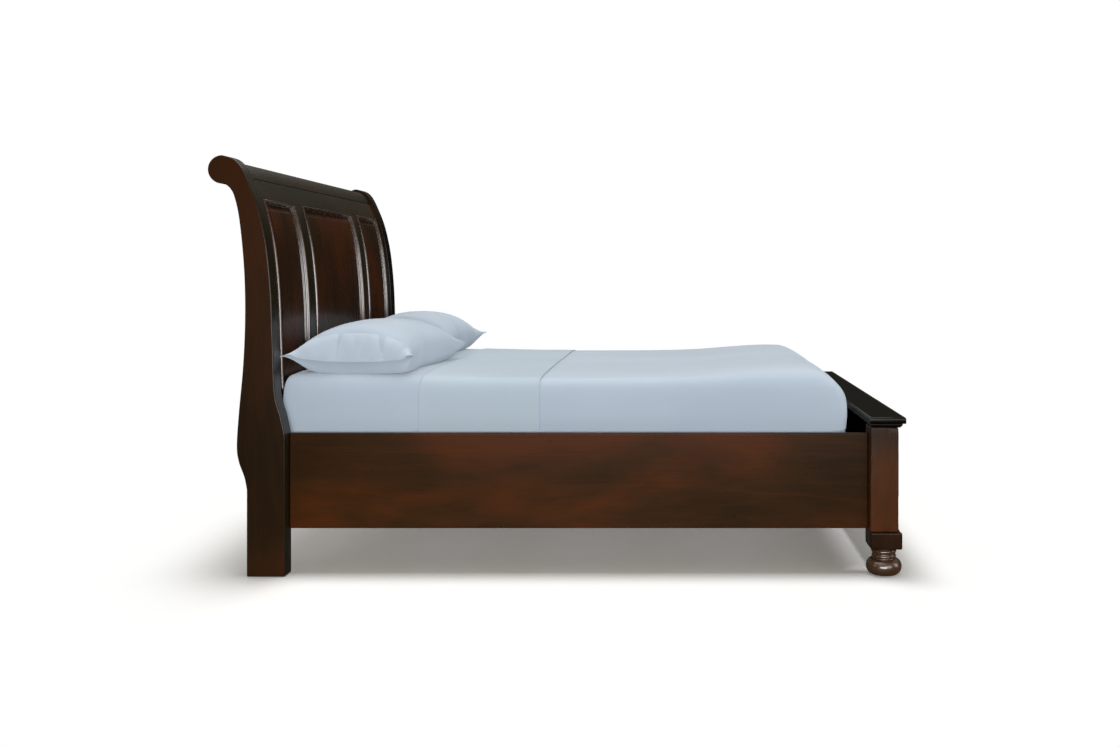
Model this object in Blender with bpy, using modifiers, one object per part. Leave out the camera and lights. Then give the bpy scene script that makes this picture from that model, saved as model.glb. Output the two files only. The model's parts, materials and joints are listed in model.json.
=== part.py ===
"""Sleigh bed, queen size, made up with a mattress, sheets and two pillows.

Metres, +Z up. The origin is on the floor under the middle of the bed. The headboard is at -X and
the low footboard at +X. "right" is the -Y side and "left" the +Y side, as for someone lying in it.
"""

import math

import bmesh
import bpy
from mathutils import Matrix, Vector

# Gap left between touching pieces.
GAP = 0.0003

# Head posts: sawn slabs with an S-shaped outline that ends in a scroll.
POST_SPAN = 1.70
HALF_SPAN = POST_SPAN / 2
HEAD_POST_THICKNESS = 0.067
HEAD_LEG_BACK_X = -1.107
HEAD_LEG_FRONT_X = -0.970
SCROLL_CENTRE = (-1.1955, 1.4560)
SCROLL_RADIUS = 0.0510
SCROLL_ARC_POINTS = 16
SPAN_POINTS = 5

# Front and back edges of the S, (x, z), from the leg up to the scroll.
FRONT_EDGE = (
    (-0.970, 0.470), (-0.9715, 0.512), (-0.986, 0.577), (-1.005, 0.652), (-1.012, 0.810),
    (-1.019, 1.003), (-1.033, 1.157), (-1.050, 1.256), (-1.071, 1.336), (-1.098, 1.405),
    (-1.126, 1.463), (-1.155, 1.494), (-1.1955, 1.507),
)
BACK_EDGE = (
    (-1.107, 0.310), (-1.116, 0.355), (-1.136, 0.411), (-1.143, 0.468), (-1.136, 0.582),
    (-1.1205, 0.754), (-1.1135, 0.925), (-1.117, 1.096), (-1.133, 1.268), (-1.1505, 1.354),
    (-1.167, 1.388), (-1.186, 1.4035),
)

# Headboard joinery between the posts. Depths are measured in from the posts' front edge.
FRAME_FACE_DEPTH = 0.012
FRAME_THICKNESS = 0.030
CREST_INSET = 0.013
BOTTOM_RAIL_LOW = 0.360
OPENING_LOW = 0.660
OPENING_HIGH = 1.362
GROOVE_Z = 1.436
GROOVE_HALF = 0.0015
OUTER_STILE_WIDTH = 0.038
MULLION_WIDTH = 0.090
CENTRE_OPENING = 0.664

# Raised panels and the mouldings that hold them in.
PANEL_BORDER_DEPTH = 0.026
PANEL_FIELD_DEPTH = 0.015
PANEL_BORDER = 0.022
PANEL_BEVEL = 0.045
PANEL_THICKNESS = 0.009
MOULDING_WIDTH = 0.019
MOULDING_PROUD = 0.005
MOULDING_CLEARANCE = 0.0008

# Footboard: square corner posts on plinths and turned bun feet, under a bench-like cap.
FOOT_POST_INNER_X = 1.122
FOOT_POST_SIZE = 0.101
FOOT_POST_LOW = 0.159
FOOT_POST_HIGH = 0.534
PLINTH_SIZE = 0.114
PLINTH_SHIFT = 0.006
PLINTH_LOW = 0.097
PLINTH_CHAMFER = 0.006
CAP_MOULDING_HIGH = 0.549
CAP_HIGH = 0.572
CAP_OVERHANG = 0.022
CAP_INNER_X = 1.1165
CAP_MOULDING_OVERHANG = 0.012
FOOT_FRAME_RECESS = 0.015
FOOT_FRAME_THICKNESS = 0.028
FOOT_FRAME_LOW = 0.162
FOOT_OPENING_LOW = 0.250
FOOT_OPENING_HIGH = 0.446
FOOT_PANEL_BEVEL = 0.030
INNER_BOARD_THICKNESS = 0.015
BUN_RADIUS = 0.0637
BUN_TOP = 0.056
BUN_STEPS = 28

# Side rails and what they carry.
RAIL_RECESS = 0.045
RAIL_THICKNESS = 0.022
RAIL_LOW = 0.162
RAIL_HIGH = 0.507
CLEAT_WIDTH = 0.030
CLEAT_LOW = 0.165
CLEAT_HIGH = 0.195
SLAT_XS = (-0.750, -0.200, 0.350, 0.900)
SLAT_WIDTH = 0.090
SLAT_THICKNESS = 0.020
SLAT_LEG_WIDTH = 0.048

# Steel brackets and the bolts that draw the rails to the posts.
BRACKET_LOW = 0.200
BRACKET_HIGH = 0.340
BRACKET_THICKNESS = 0.003
HEAD_BRACKET_BACK_X = -1.030
HEAD_BRACKET_FRONT_X = -0.900
FOOT_BRACKET_BACK_X = 1.060
FOOT_BRACKET_LEG = 0.028
BOLT_Z = 0.270
BOLT_RADIUS = 0.004
BOLT_LENGTH = 0.045
BOLT_HEAD_RADIUS = 0.0075
BOLT_HEAD_HEIGHT = 0.005
BOLT_OVERLAP = 0.001
BOLT_HOLE_CLEARANCE = 0.0004
BOLT_HOLE_SPARE = 0.005

# Queen foundation, mattress, sheets and pillows.
BED_HEAD_X = -1.008
FOUNDATION_LENGTH = 2.050
FOUNDATION_WIDTH = 1.510
FOUNDATION_HIGH = 0.420
MATTRESS_LENGTH = 2.056
MATTRESS_WIDTH = 1.518
MATTRESS_HIGH = 0.698
MATTRESS_ROUNDING = 0.060
SHEET_CLEARANCE = 0.0005
SHEET_THICKNESS = 0.0015
FLAT_SHEET_HEAD_X = -0.510
PILLOW_LENGTH = 0.745
PILLOW_WIDTH = 0.474
PILLOW_HEIGHT = 0.200
PILLOW_HEAD_X = -1.014
PILLOW_Y = 0.380
PILLOW_RIM_PINCH = 0.45
PILLOW_CORNER_PINCH = 0.25

RAIL_OUTER_Y = HALF_SPAN - RAIL_RECESS
RAIL_INNER_Y = RAIL_OUTER_Y - RAIL_THICKNESS
HEAD_POST_INNER_Y = HALF_SPAN - HEAD_POST_THICKNESS
FOOT_POST_INNER_Y = HALF_SPAN - FOOT_POST_SIZE
FOOT_POST_OUTER_X = FOOT_POST_INNER_X + FOOT_POST_SIZE
SIDES = (("right", -1), ("left", 1))

# (name, low y, high y) of the three openings across the headboard, and of the footboard's.
MULLION_OUTER_Y = CENTRE_OPENING / 2 + MULLION_WIDTH
HEAD_OPENING_OUTER_Y = HEAD_POST_INNER_Y - OUTER_STILE_WIDTH
HEAD_OPENINGS = (
    ("right", -HEAD_OPENING_OUTER_Y, -MULLION_OUTER_Y),
    ("centre", -CENTRE_OPENING / 2, CENTRE_OPENING / 2),
    ("left", MULLION_OUTER_Y, HEAD_OPENING_OUTER_Y),
)
FOOT_OPENINGS = (
    ("right", -FOOT_POST_INNER_Y, -MULLION_OUTER_Y),
    ("centre", -CENTRE_OPENING / 2, CENTRE_OPENING / 2),
    ("left", MULLION_OUTER_Y, FOOT_POST_INNER_Y),
)


def clear_scene():
    for obj in list(bpy.data.objects):
        bpy.data.objects.remove(obj, do_unlink=True)


def new_collection(name):
    collection = bpy.data.collections.new(name)
    bpy.context.scene.collection.children.link(collection)
    return collection


def principled(name, colour, roughness, metallic=0.0):
    material = bpy.data.materials.new(name)
    material.use_nodes = True
    shader = material.node_tree.nodes["Principled BSDF"]
    shader.inputs["Base Color"].default_value = (*colour, 1.0)
    shader.inputs["Roughness"].default_value = roughness
    shader.inputs["Metallic"].default_value = metallic
    return material


clear_scene()
PARTS = new_collection("sleigh_bed")
CUTTERS = new_collection("sleigh_bed_cutters")

DARK_WOOD = principled("dark_cherry_wood", (0.045, 0.016, 0.009), 0.35)
BLACK_WOOD = principled("blackened_cap_wood", (0.016, 0.011, 0.009), 0.30)
PLAIN_WOOD = principled("unfinished_pine", (0.55, 0.38, 0.22), 0.70)
STEEL = principled("zinc_plated_steel", (0.50, 0.50, 0.52), 0.35, 0.9)
TICKING = principled("woven_ticking", (0.75, 0.75, 0.74), 0.90)
BLUE_COTTON = principled("pale_blue_cotton", (0.46, 0.53, 0.62), 0.85)


def new_empty(name, location=(0, 0, 0), parent=None):
    empty = bpy.data.objects.new(name, None)
    empty.location = location
    empty.parent = parent
    PARTS.objects.link(empty)
    return empty


FRAME = new_empty("bed_frame")
FOUNDATION_LIFT = new_empty("foundation_lift", (0, 0, FOUNDATION_HIGH), FRAME)
MATTRESS_LIFT = new_empty("mattress_lift", (0, 0, MATTRESS_HIGH - FOUNDATION_HIGH), FOUNDATION_LIFT)


def keep(obj, material, parent=None):
    """Links a finished part under its parent empty, without moving it in the world."""
    PARTS.objects.link(obj)
    obj.data.materials.clear()
    obj.data.materials.append(material)
    obj.parent = parent or FRAME
    above = obj.parent
    while above:
        obj.location -= above.location
        above = above.parent
    return obj


def keep_as_cutter(obj):
    CUTTERS.objects.link(obj)
    obj.hide_render = True
    obj.display_type = "WIRE"
    return obj


def cut(obj, cutter):
    boolean = obj.modifiers.new("cut_" + cutter.name, "BOOLEAN")
    boolean.operation = "DIFFERENCE"
    boolean.object = cutter


def ease_edges(obj, width, segments=2):
    bevel = obj.modifiers.new("eased_edges", "BEVEL")
    bevel.width = width
    bevel.segments = segments
    bevel.limit_method = "ANGLE"
    bevel.angle_limit = math.radians(40)


def shade(mesh, angle_degrees=30):
    mesh.shade_smooth()
    mesh.set_sharp_from_angle(angle=math.radians(angle_degrees))


def baked(obj):
    """Turns a curve or a modified object that is not yet linked into a plain mesh object."""
    bpy.context.scene.collection.objects.link(obj)
    bpy.context.view_layer.update()
    graph = bpy.context.evaluated_depsgraph_get()
    mesh = bpy.data.meshes.new_from_object(obj.evaluated_get(graph))
    shell = bmesh.new()
    shell.from_mesh(mesh)
    bmesh.ops.remove_doubles(shell, verts=shell.verts, dist=0.00001)
    shell.to_mesh(mesh)
    shell.free()
    name = obj.name
    place = obj.matrix_world.copy()
    bpy.data.objects.remove(obj, do_unlink=True)
    plain = bpy.data.objects.new(name, mesh)
    plain.matrix_world = place
    return plain


def block(name, low, high, ease=0.0, segments=2, open_faces=()):
    """A box between two corners, its origin at its middle, with the named faces left off."""
    centre = (Vector(low) + Vector(high)) / 2
    size = Vector(high) - Vector(low)
    shape = bmesh.new()
    bmesh.ops.create_cube(shape, size=1.0, matrix=Matrix.Diagonal((*size, 1.0)))
    for facing in open_faces:
        gone = [face for face in shape.faces if face.normal.dot(Vector(facing)) > 0.9]
        bmesh.ops.delete(shape, geom=gone, context="FACES")
    mesh = bpy.data.meshes.new(name)
    shape.to_mesh(mesh)
    shape.free()
    obj = bpy.data.objects.new(name, mesh)
    obj.location = centre
    if ease:
        ease_edges(obj, ease, segments)
        shade(mesh)
    return obj


def slab(name, outline, low, high, upright=True):
    """A flat outline given thickness. Upright ones are drawn in X-Z, the others in X-Y."""
    curve = bpy.data.curves.new(name, "CURVE")
    curve.dimensions = "2D"
    curve.fill_mode = "BOTH"
    curve.extrude = (high - low) / 2
    spline = curve.splines.new("POLY")
    spline.points.add(len(outline) - 1)
    for point, (across, along) in zip(spline.points, outline):
        point.co = (across, along, 0.0, 1.0)
    spline.use_cyclic_u = True
    obj = bpy.data.objects.new(name, curve)
    middle = (low + high) / 2
    obj.location = (0, middle, 0) if upright else (0, 0, middle)
    obj.rotation_euler = (math.pi / 2, 0, 0) if upright else (0, 0, 0)
    return baked(obj)


def smooth_path(points, per_span=SPAN_POINTS):
    """Points on the Catmull-Rom curve through the given ones."""
    ends = [points[0], *points, points[-1]]
    path = []
    for before, start, stop, after in zip(ends, ends[1:], ends[2:], ends[3:]):
        for step in range(per_span):
            t = step / per_span
            path.append(tuple(
                0.5 * (2 * b + (c - a) * t + (2 * a - 5 * b + 4 * c - d) * t * t
                       + (3 * b - a - 3 * c + d) * t ** 3)
                for a, b, c, d in zip(before, start, stop, after)
            ))
    return path + [points[-1]]


def arc(centre, radius, start_degrees, stop_degrees, count):
    angles = [
        math.radians(start_degrees + (stop_degrees - start_degrees) * step / (count - 1))
        for step in range(count)
    ]
    return [(centre[0] + radius * math.cos(a), centre[1] + radius * math.sin(a)) for a in angles]


FRONT_PATH = [(HEAD_LEG_FRONT_X, 0.0)] + smooth_path(FRONT_EDGE)
BACK_PATH = [(HEAD_LEG_BACK_X, 0.0)] + smooth_path(BACK_EDGE)


def inside_front(z, depth):
    """The point that lies `depth` behind the posts' front edge, square to it, at height z of it."""
    for (x_low, z_low), (x_high, z_high) in zip(FRONT_PATH, FRONT_PATH[1:]):
        if z_low <= z <= z_high:
            break
    part = (z - z_low) / (z_high - z_low)
    run = Vector((x_high - x_low, z_high - z_low)).normalized()
    return (
        x_low + (x_high - x_low) * part - run.y * depth,
        z + run.x * depth,
    )


def heights(z_low, z_high):
    """Heights along the front edge between two of its heights, where its curve has points."""
    between = [z for _, z in FRONT_PATH if z_low + 0.004 < z < z_high - 0.004]
    return [z_low, *between, z_high]


def curved_outline(z_low, z_high, depth_low, depth_high):
    """The outline of a board that follows the S between two depths behind the posts' front."""
    levels = heights(z_low, z_high)
    front = [inside_front(z, depth_low) for z in levels]
    back = [inside_front(z, depth_high) for z in reversed(levels)]
    return front + back


def curved_board(name, z_low, z_high, y_low, y_high, ease=0.0015):
    outline = curved_outline(
        z_low + GAP / 2, z_high - GAP / 2, FRAME_FACE_DEPTH, FRAME_FACE_DEPTH + FRAME_THICKNESS
    )
    board = slab(name, outline, y_low + GAP / 2, y_high - GAP / 2)
    ease_edges(board, ease, 1)
    shade(board.data)
    return keep(board, DARK_WOOD)


def crest_roll():
    """The rolled top board: the S goes on over the top and curls back under itself."""
    levels = heights(GROOVE_Z + GROOVE_HALF, FRONT_EDGE[-1][1] - 0.0005)
    front = [inside_front(z, CREST_INSET) for z in levels]
    roll = arc(SCROLL_CENTRE, SCROLL_RADIUS - CREST_INSET, 92, 300, SCROLL_ARC_POINTS)
    under = [inside_front(GROOVE_Z + GROOVE_HALF, FRAME_FACE_DEPTH + FRAME_THICKNESS)]
    y = HEAD_POST_INNER_Y - GAP
    roll = slab("crest_roll", front + roll + under, -y, y)
    ease_edges(roll, 0.002, 1)
    shade(roll.data)
    keep(roll, DARK_WOOD)


def head_posts():
    scroll = arc(SCROLL_CENTRE, SCROLL_RADIUS, 100, 258, SCROLL_ARC_POINTS)
    outline = FRONT_PATH + scroll + BACK_PATH[::-1]
    for side, sign in SIDES:
        y_low, y_high = sorted((sign * HEAD_POST_INNER_Y, sign * HALF_SPAN))
        post = slab("head_post_" + side, outline, y_low, y_high)
        ease_edges(post, 0.004, 2)
        shade(post.data)
        keep(post, DARK_WOOD)


def spread(low, high, border, bevel, middle):
    """Grid lines across a raised panel: its border, its bevel, then `middle` lines of field."""
    field_low = low + border + bevel
    field_high = high - border - bevel
    field = [field_low + (field_high - field_low) * step / (middle - 1) for step in range(middle)]
    return [low, low + border, *field, high - border, high]


def raised_panel(name, ys, zs, place, bevel):
    """A shell with a bevelled raised field. place(y, z, depth) puts a point on the board."""
    shape = bmesh.new()
    bmesh.ops.create_grid(shape, x_segments=len(ys) - 1, y_segments=len(zs) - 1, size=0.5)
    for vertex in shape.verts:
        y = ys[round((vertex.co.x + 0.5) * (len(ys) - 1))]
        z = zs[round((vertex.co.y + 0.5) * (len(zs) - 1))]
        to_edge = min(y - ys[0], ys[-1] - y, z - zs[0], zs[-1] - z)
        rise = min(max((to_edge - PANEL_BORDER) / bevel, 0.0), 1.0)
        depth = PANEL_BORDER_DEPTH + (PANEL_FIELD_DEPTH - PANEL_BORDER_DEPTH) * rise
        vertex.co = place(y, z, depth)
    mesh = bpy.data.meshes.new(name)
    shape.to_mesh(mesh)
    shape.free()
    panel = bpy.data.objects.new(name, mesh)
    solidify = panel.modifiers.new("thickness", "SOLIDIFY")
    solidify.thickness = PANEL_THICKNESS
    solidify.offset = -1
    shade(mesh, 8)
    return keep(panel, DARK_WOOD)


def on_headboard(y, z, depth):
    x, height = inside_front(z, depth)
    return (x, y, height)


def on_footboard(y, z, depth):
    face = FOOT_POST_OUTER_X - FOOT_FRAME_RECESS + FRAME_FACE_DEPTH
    return (face - depth, y, z)


def headboard_frame():
    inner = HEAD_POST_INNER_Y - GAP / 2
    front_top = inside_front(OPENING_LOW - GAP, FRAME_FACE_DEPTH)
    back_top = inside_front(OPENING_LOW - GAP, FRAME_FACE_DEPTH + FRAME_THICKNESS)
    upright = [front_top, back_top, (back_top[0], BOTTOM_RAIL_LOW), (front_top[0], BOTTOM_RAIL_LOW)]
    rail = slab("headboard_bottom_rail", upright, -inner, inner)
    ease_edges(rail, 0.0015, 1)
    keep(rail, DARK_WOOD)
    curved_board("headboard_top_rail", OPENING_HIGH, GROOVE_Z - GROOVE_HALF, -inner, inner)
    for side, sign in SIDES:
        outer = sorted((sign * inner, sign * HEAD_OPENING_OUTER_Y))
        curved_board("headboard_stile_" + side, OPENING_LOW, OPENING_HIGH, *outer)
        middle = sorted((sign * CENTRE_OPENING / 2, sign * MULLION_OUTER_Y))
        curved_board("headboard_mullion_" + side, OPENING_LOW, OPENING_HIGH, *middle)


def headboard_panels():
    z_low, z_high = OPENING_LOW + GAP, OPENING_HIGH - GAP
    lines = [z_low, z_low + PANEL_BORDER, z_low + PANEL_BORDER + PANEL_BEVEL,
             z_high - PANEL_BORDER - PANEL_BEVEL, z_high - PANEL_BORDER, z_high]
    zs = [z_low]
    for low, high in zip(lines, lines[1:]):
        zs += heights(low, high)[1:]
    for side, y_low, y_high in HEAD_OPENINGS:
        ys = spread(y_low + GAP, y_high - GAP, PANEL_BORDER, PANEL_BEVEL, 2)
        raised_panel("headboard_panel_" + side, ys, zs, on_headboard, PANEL_BEVEL)


def headboard_mouldings():
    face = FRAME_FACE_DEPTH - MOULDING_PROUD
    for side, y_low, y_high in HEAD_OPENINGS:
        name = "headboard_moulding_" + side
        outer = curved_outline(
            OPENING_LOW + GAP, OPENING_HIGH - GAP, face, PANEL_BORDER_DEPTH - MOULDING_CLEARANCE
        )
        ring = slab(name, outer, y_low + GAP, y_high - GAP)
        inner = curved_outline(
            OPENING_LOW + MOULDING_WIDTH, OPENING_HIGH - MOULDING_WIDTH, face - 0.02, 0.05
        )
        hole = slab(name + "_hole", inner, y_low + MOULDING_WIDTH, y_high - MOULDING_WIDTH)
        cut(ring, keep_as_cutter(hole))
        keep(ring, DARK_WOOD)


def footboard_frame():
    x_high = FOOT_POST_OUTER_X - FOOT_FRAME_RECESS
    x_low = x_high - FOOT_FRAME_THICKNESS
    inner = FOOT_POST_INNER_Y - GAP
    boards = {
        "footboard_bottom_rail": (-inner, inner, FOOT_FRAME_LOW, FOOT_OPENING_LOW),
        "footboard_top_rail": (-inner, inner, FOOT_OPENING_HIGH, FOOT_POST_HIGH),
        "footboard_mullion_right": (
            -MULLION_OUTER_Y, -CENTRE_OPENING / 2, FOOT_OPENING_LOW, FOOT_OPENING_HIGH
        ),
        "footboard_mullion_left": (
            CENTRE_OPENING / 2, MULLION_OUTER_Y, FOOT_OPENING_LOW, FOOT_OPENING_HIGH
        ),
    }
    for name, (y_low, y_high, z_low, z_high) in boards.items():
        low = (x_low, y_low, z_low + GAP / 2)
        high = (x_high, y_high, z_high - GAP / 2)
        keep(block(name, low, high, 0.0015, 1), DARK_WOOD)
    back = FOOT_POST_INNER_X + INNER_BOARD_THICKNESS
    keep(block(
        "footboard_inner_board", (FOOT_POST_INNER_X, -inner, FOOT_FRAME_LOW),
        (back, inner, FOOT_POST_HIGH - GAP), 0.0015, 1,
    ), DARK_WOOD)


def footboard_panels():
    zs = spread(
        FOOT_OPENING_LOW + GAP, FOOT_OPENING_HIGH - GAP, PANEL_BORDER, FOOT_PANEL_BEVEL, 2
    )
    face = FOOT_POST_OUTER_X - FOOT_FRAME_RECESS
    border_x = face + FRAME_FACE_DEPTH - PANEL_BORDER_DEPTH
    for side, y_low, y_high in FOOT_OPENINGS:
        ys = spread(y_low + GAP, y_high - GAP, PANEL_BORDER, FOOT_PANEL_BEVEL, 2)
        raised_panel("footboard_panel_" + side, ys, zs, on_footboard, FOOT_PANEL_BEVEL)
        name = "footboard_moulding_" + side
        ring = block(
            name, (border_x + MOULDING_CLEARANCE, y_low + GAP, FOOT_OPENING_LOW + GAP),
            (face + MOULDING_PROUD, y_high - GAP, FOOT_OPENING_HIGH - GAP),
        )
        hole = block(
            name + "_hole", (border_x - 0.02, y_low + MOULDING_WIDTH, FOOT_OPENING_LOW + MOULDING_WIDTH),
            (face + 0.03, y_high - MOULDING_WIDTH, FOOT_OPENING_HIGH - MOULDING_WIDTH),
        )
        cut(ring, keep_as_cutter(hole))
        keep(ring, DARK_WOOD)


def bun_profile():
    """(radius, z) from the top of the neck down to the floor."""
    neck = [
        (0.0400, PLINTH_LOW - GAP), (0.0400, 0.0900), (0.0447, 0.0875), (0.0450, 0.0820),
        (0.0440, 0.0775), (0.0400, 0.0750), (0.0398, 0.0725), (0.0432, 0.0700),
        (0.0440, 0.0655), (0.0425, 0.0615), (0.0390, 0.0590),
    ]
    middle = BUN_TOP / 2
    ball = [
        (0.0417 + (BUN_RADIUS - 0.0417) * math.cos(angle), middle + middle * math.sin(angle))
        for angle in (math.radians(90 - 180 * step / 10) for step in range(11))
    ]
    return neck + ball


def bun_feet(x, y):
    profile = bun_profile()
    for side, sign in SIDES:
        mesh = bpy.data.meshes.new("bun_foot_" + side)
        points = [(0, 0, profile[0][1]), *[(r, 0, z) for r, z in profile], (0, 0, 0)]
        mesh.from_pydata(points, [(i, i + 1) for i in range(len(points) - 1)], [])
        foot = bpy.data.objects.new("bun_foot_" + side, mesh)
        foot.location = (x, sign * y, 0)
        turn = foot.modifiers.new("turned", "SCREW")
        turn.steps = BUN_STEPS
        turn.render_steps = BUN_STEPS
        turn.use_merge_vertices = True
        turn.merge_threshold = 0.00005
        turn.use_smooth_shade = True
        keep(foot, DARK_WOOD)


def foot_corners():
    x = FOOT_POST_INNER_X + FOOT_POST_SIZE / 2
    y = HALF_SPAN - FOOT_POST_SIZE / 2
    half = FOOT_POST_SIZE / 2
    wide = PLINTH_SIZE / 2
    plinth_x = x + PLINTH_SHIFT
    for side, sign in SIDES:
        keep(block(
            "foot_post_" + side, (x - half, sign * y - half, FOOT_POST_LOW + GAP),
            (x + half, sign * y + half, FOOT_POST_HIGH - GAP), 0.003,
        ), DARK_WOOD)
        keep(block(
            "foot_plinth_" + side, (plinth_x - wide, sign * y - wide, PLINTH_LOW),
            (plinth_x + wide, sign * y + wide, FOOT_POST_LOW), PLINTH_CHAMFER, 2,
        ), DARK_WOOD)
    bun_feet(plinth_x, y)


def foot_cap():
    outer_x = FOOT_POST_OUTER_X + CAP_MOULDING_OVERHANG
    outer_y = HALF_SPAN + CAP_MOULDING_OVERHANG
    keep(block(
        "foot_cap_moulding", (CAP_INNER_X + 0.003, -outer_y, FOOT_POST_HIGH),
        (outer_x, outer_y, CAP_MOULDING_HIGH - GAP), 0.005, 2,
    ), BLACK_WOOD)
    outer_x = FOOT_POST_OUTER_X + CAP_OVERHANG
    outer_y = HALF_SPAN + CAP_OVERHANG
    keep(block(
        "foot_cap", (CAP_INNER_X, -outer_y, CAP_MOULDING_HIGH), (outer_x, outer_y, CAP_HIGH),
        0.004, 2,
    ), BLACK_WOOD)


def side_rails():
    x_low = HEAD_LEG_FRONT_X + GAP
    x_high = FOOT_POST_INNER_X - GAP
    for side, sign in SIDES:
        rail_y = sorted((sign * RAIL_INNER_Y, sign * RAIL_OUTER_Y))
        keep(block(
            "side_rail_" + side, (x_low, rail_y[0], RAIL_LOW), (x_high, rail_y[1], RAIL_HIGH),
            0.004, 2,
        ), DARK_WOOD)
        cleat_y = sorted((sign * (RAIL_INNER_Y - GAP), sign * (RAIL_INNER_Y - CLEAT_WIDTH)))
        keep(block(
            "slat_cleat_" + side, (x_low + 0.004, cleat_y[0], CLEAT_LOW),
            (x_high - 0.006, cleat_y[1], CLEAT_HIGH), 0.001, 1,
        ), PLAIN_WOOD)


def slats():
    y = RAIL_INNER_Y - 0.0015
    top = CLEAT_HIGH + GAP + SLAT_THICKNESS
    for number, x in enumerate(SLAT_XS, start=1):
        keep(block(
            f"slat_{number}", (x - SLAT_WIDTH / 2, -y, CLEAT_HIGH + GAP),
            (x + SLAT_WIDTH / 2, y, top), 0.002, 1,
        ), PLAIN_WOOD)
        half = SLAT_LEG_WIDTH / 2
        keep(block(f"slat_leg_{number}", (x - half, -half, 0), (x + half, half, CLEAT_HIGH), 0.002, 1),
             PLAIN_WOOD)


def rod(name, radius, length, sides, start, along):
    """A round or hexagonal bar from `start`, pointing along a direction."""
    shape = bmesh.new()
    bmesh.ops.create_cone(
        shape, cap_ends=True, segments=sides, radius1=radius, radius2=radius, depth=length,
        matrix=Matrix.Translation((0, 0, length / 2)),
    )
    mesh = bpy.data.meshes.new(name)
    shape.to_mesh(mesh)
    shape.free()
    shade(mesh)
    obj = bpy.data.objects.new(name, mesh)
    turn = Vector((0, 0, 1)).rotation_difference(Vector(along)).to_matrix().to_4x4()
    obj.matrix_world = Matrix.Translation(start) @ turn
    return obj


def bolt(name, seat, into, bored):
    """A hexagon bolt seated on a bracket, and the hole for it in everything it passes through."""
    into = Vector(into)
    seat = Vector(seat) - into * GAP
    head = rod(name, BOLT_HEAD_RADIUS, BOLT_HEAD_HEIGHT, 6, seat, -into)
    shank = rod(
        name + "_shank", BOLT_RADIUS, BOLT_LENGTH + BOLT_OVERLAP, 12, seat - into * BOLT_OVERLAP, into
    )
    join = head.modifiers.new("shank", "BOOLEAN")
    join.operation = "UNION"
    join.object = keep_as_cutter(shank)
    keep(head, STEEL)
    hole = rod(
        name + "_hole", BOLT_RADIUS + BOLT_HOLE_CLEARANCE, BOLT_LENGTH + 1.4 * BOLT_HOLE_SPARE, 12,
        seat - into * BOLT_HOLE_SPARE, into,
    )
    keep_as_cutter(hole)
    for obj in bored:
        cut(obj, hole)


def brackets():
    thickness = BRACKET_THICKNESS
    for side, sign in SIDES:
        face = sign * (RAIL_INNER_Y - GAP)
        plate_y = sorted((face, face - sign * thickness))
        head_bracket = keep(block(
            "head_bracket_" + side, (HEAD_BRACKET_BACK_X, plate_y[0], BRACKET_LOW),
            (HEAD_BRACKET_FRONT_X, plate_y[1], BRACKET_HIGH),
        ), STEEL)
        seat_y = face - sign * thickness
        bolt(
            "head_bolt_" + side, (-1.000, seat_y, BOLT_Z), (0, sign, 0),
            (head_bracket, bpy.data.objects["head_post_" + side]),
        )

        corner_x = FOOT_POST_INNER_X - GAP
        tip = face - sign * FOOT_BRACKET_LEG
        outline = [
            (FOOT_BRACKET_BACK_X, face), (corner_x, face), (corner_x, tip),
            (corner_x - thickness, tip), (corner_x - thickness, seat_y),
            (FOOT_BRACKET_BACK_X, seat_y),
        ]
        foot_bracket = slab(
            "foot_bracket_" + side, outline, BRACKET_LOW, BRACKET_HIGH, upright=False
        )
        keep(foot_bracket, STEEL)
        bolt(
            "foot_bolt_" + side, (corner_x - thickness, tip + sign * 0.013, BOLT_Z), (1, 0, 0),
            (foot_bracket, bpy.data.objects["foot_post_" + side]),
        )


def sheet_shell(name, low, high, open_faces, rounding):
    """A thin cloth shell lying outside a rounded box."""
    shell = block(name, low, high, rounding, 3, open_faces)
    solidify = shell.modifiers.new("cloth", "SOLIDIFY")
    solidify.thickness = SHEET_THICKNESS
    solidify.offset = 1
    return keep(shell, BLUE_COTTON, MATTRESS_LIFT)


def bedding():
    slat_top = CLEAT_HIGH + GAP + SLAT_THICKNESS
    half = FOUNDATION_WIDTH / 2
    keep(block(
        "foundation", (BED_HEAD_X, -half, slat_top + GAP),
        (BED_HEAD_X + FOUNDATION_LENGTH, half, FOUNDATION_HIGH), 0.020, 2,
    ), TICKING, FOUNDATION_LIFT)

    low = Vector((BED_HEAD_X, -MATTRESS_WIDTH / 2, FOUNDATION_HIGH + GAP))
    high = Vector((low.x + MATTRESS_LENGTH, MATTRESS_WIDTH / 2, MATTRESS_HIGH))
    keep(block("mattress", low, high, MATTRESS_ROUNDING, 3), TICKING, MATTRESS_LIFT)

    # Each sheet starts where the mattress's lower rounding has ended, so its rim is straight.
    rim = low.z + MATTRESS_ROUNDING
    grow = Vector((1, 1, 1)) * SHEET_CLEARANCE
    fitted_low = Vector((low.x, low.y, rim)) - Vector((grow.x, grow.y, 0))
    fitted_high = high + grow
    sheet_shell(
        "fitted_sheet", fitted_low, fitted_high, [(0, 0, -1)], MATTRESS_ROUNDING + SHEET_CLEARANCE
    )
    step = SHEET_CLEARANCE + SHEET_THICKNESS
    flat_low = Vector((FLAT_SHEET_HEAD_X, fitted_low.y - step, rim + 0.001))
    flat_high = fitted_high + Vector((1, 1, 1)) * step
    sheet_shell(
        "flat_sheet", flat_low, flat_high, [(0, 0, -1), (-1, 0, 0)],
        MATTRESS_ROUNDING + SHEET_CLEARANCE + step,
    )
    pillows(fitted_high.z + SHEET_THICKNESS + 0.001)


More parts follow.
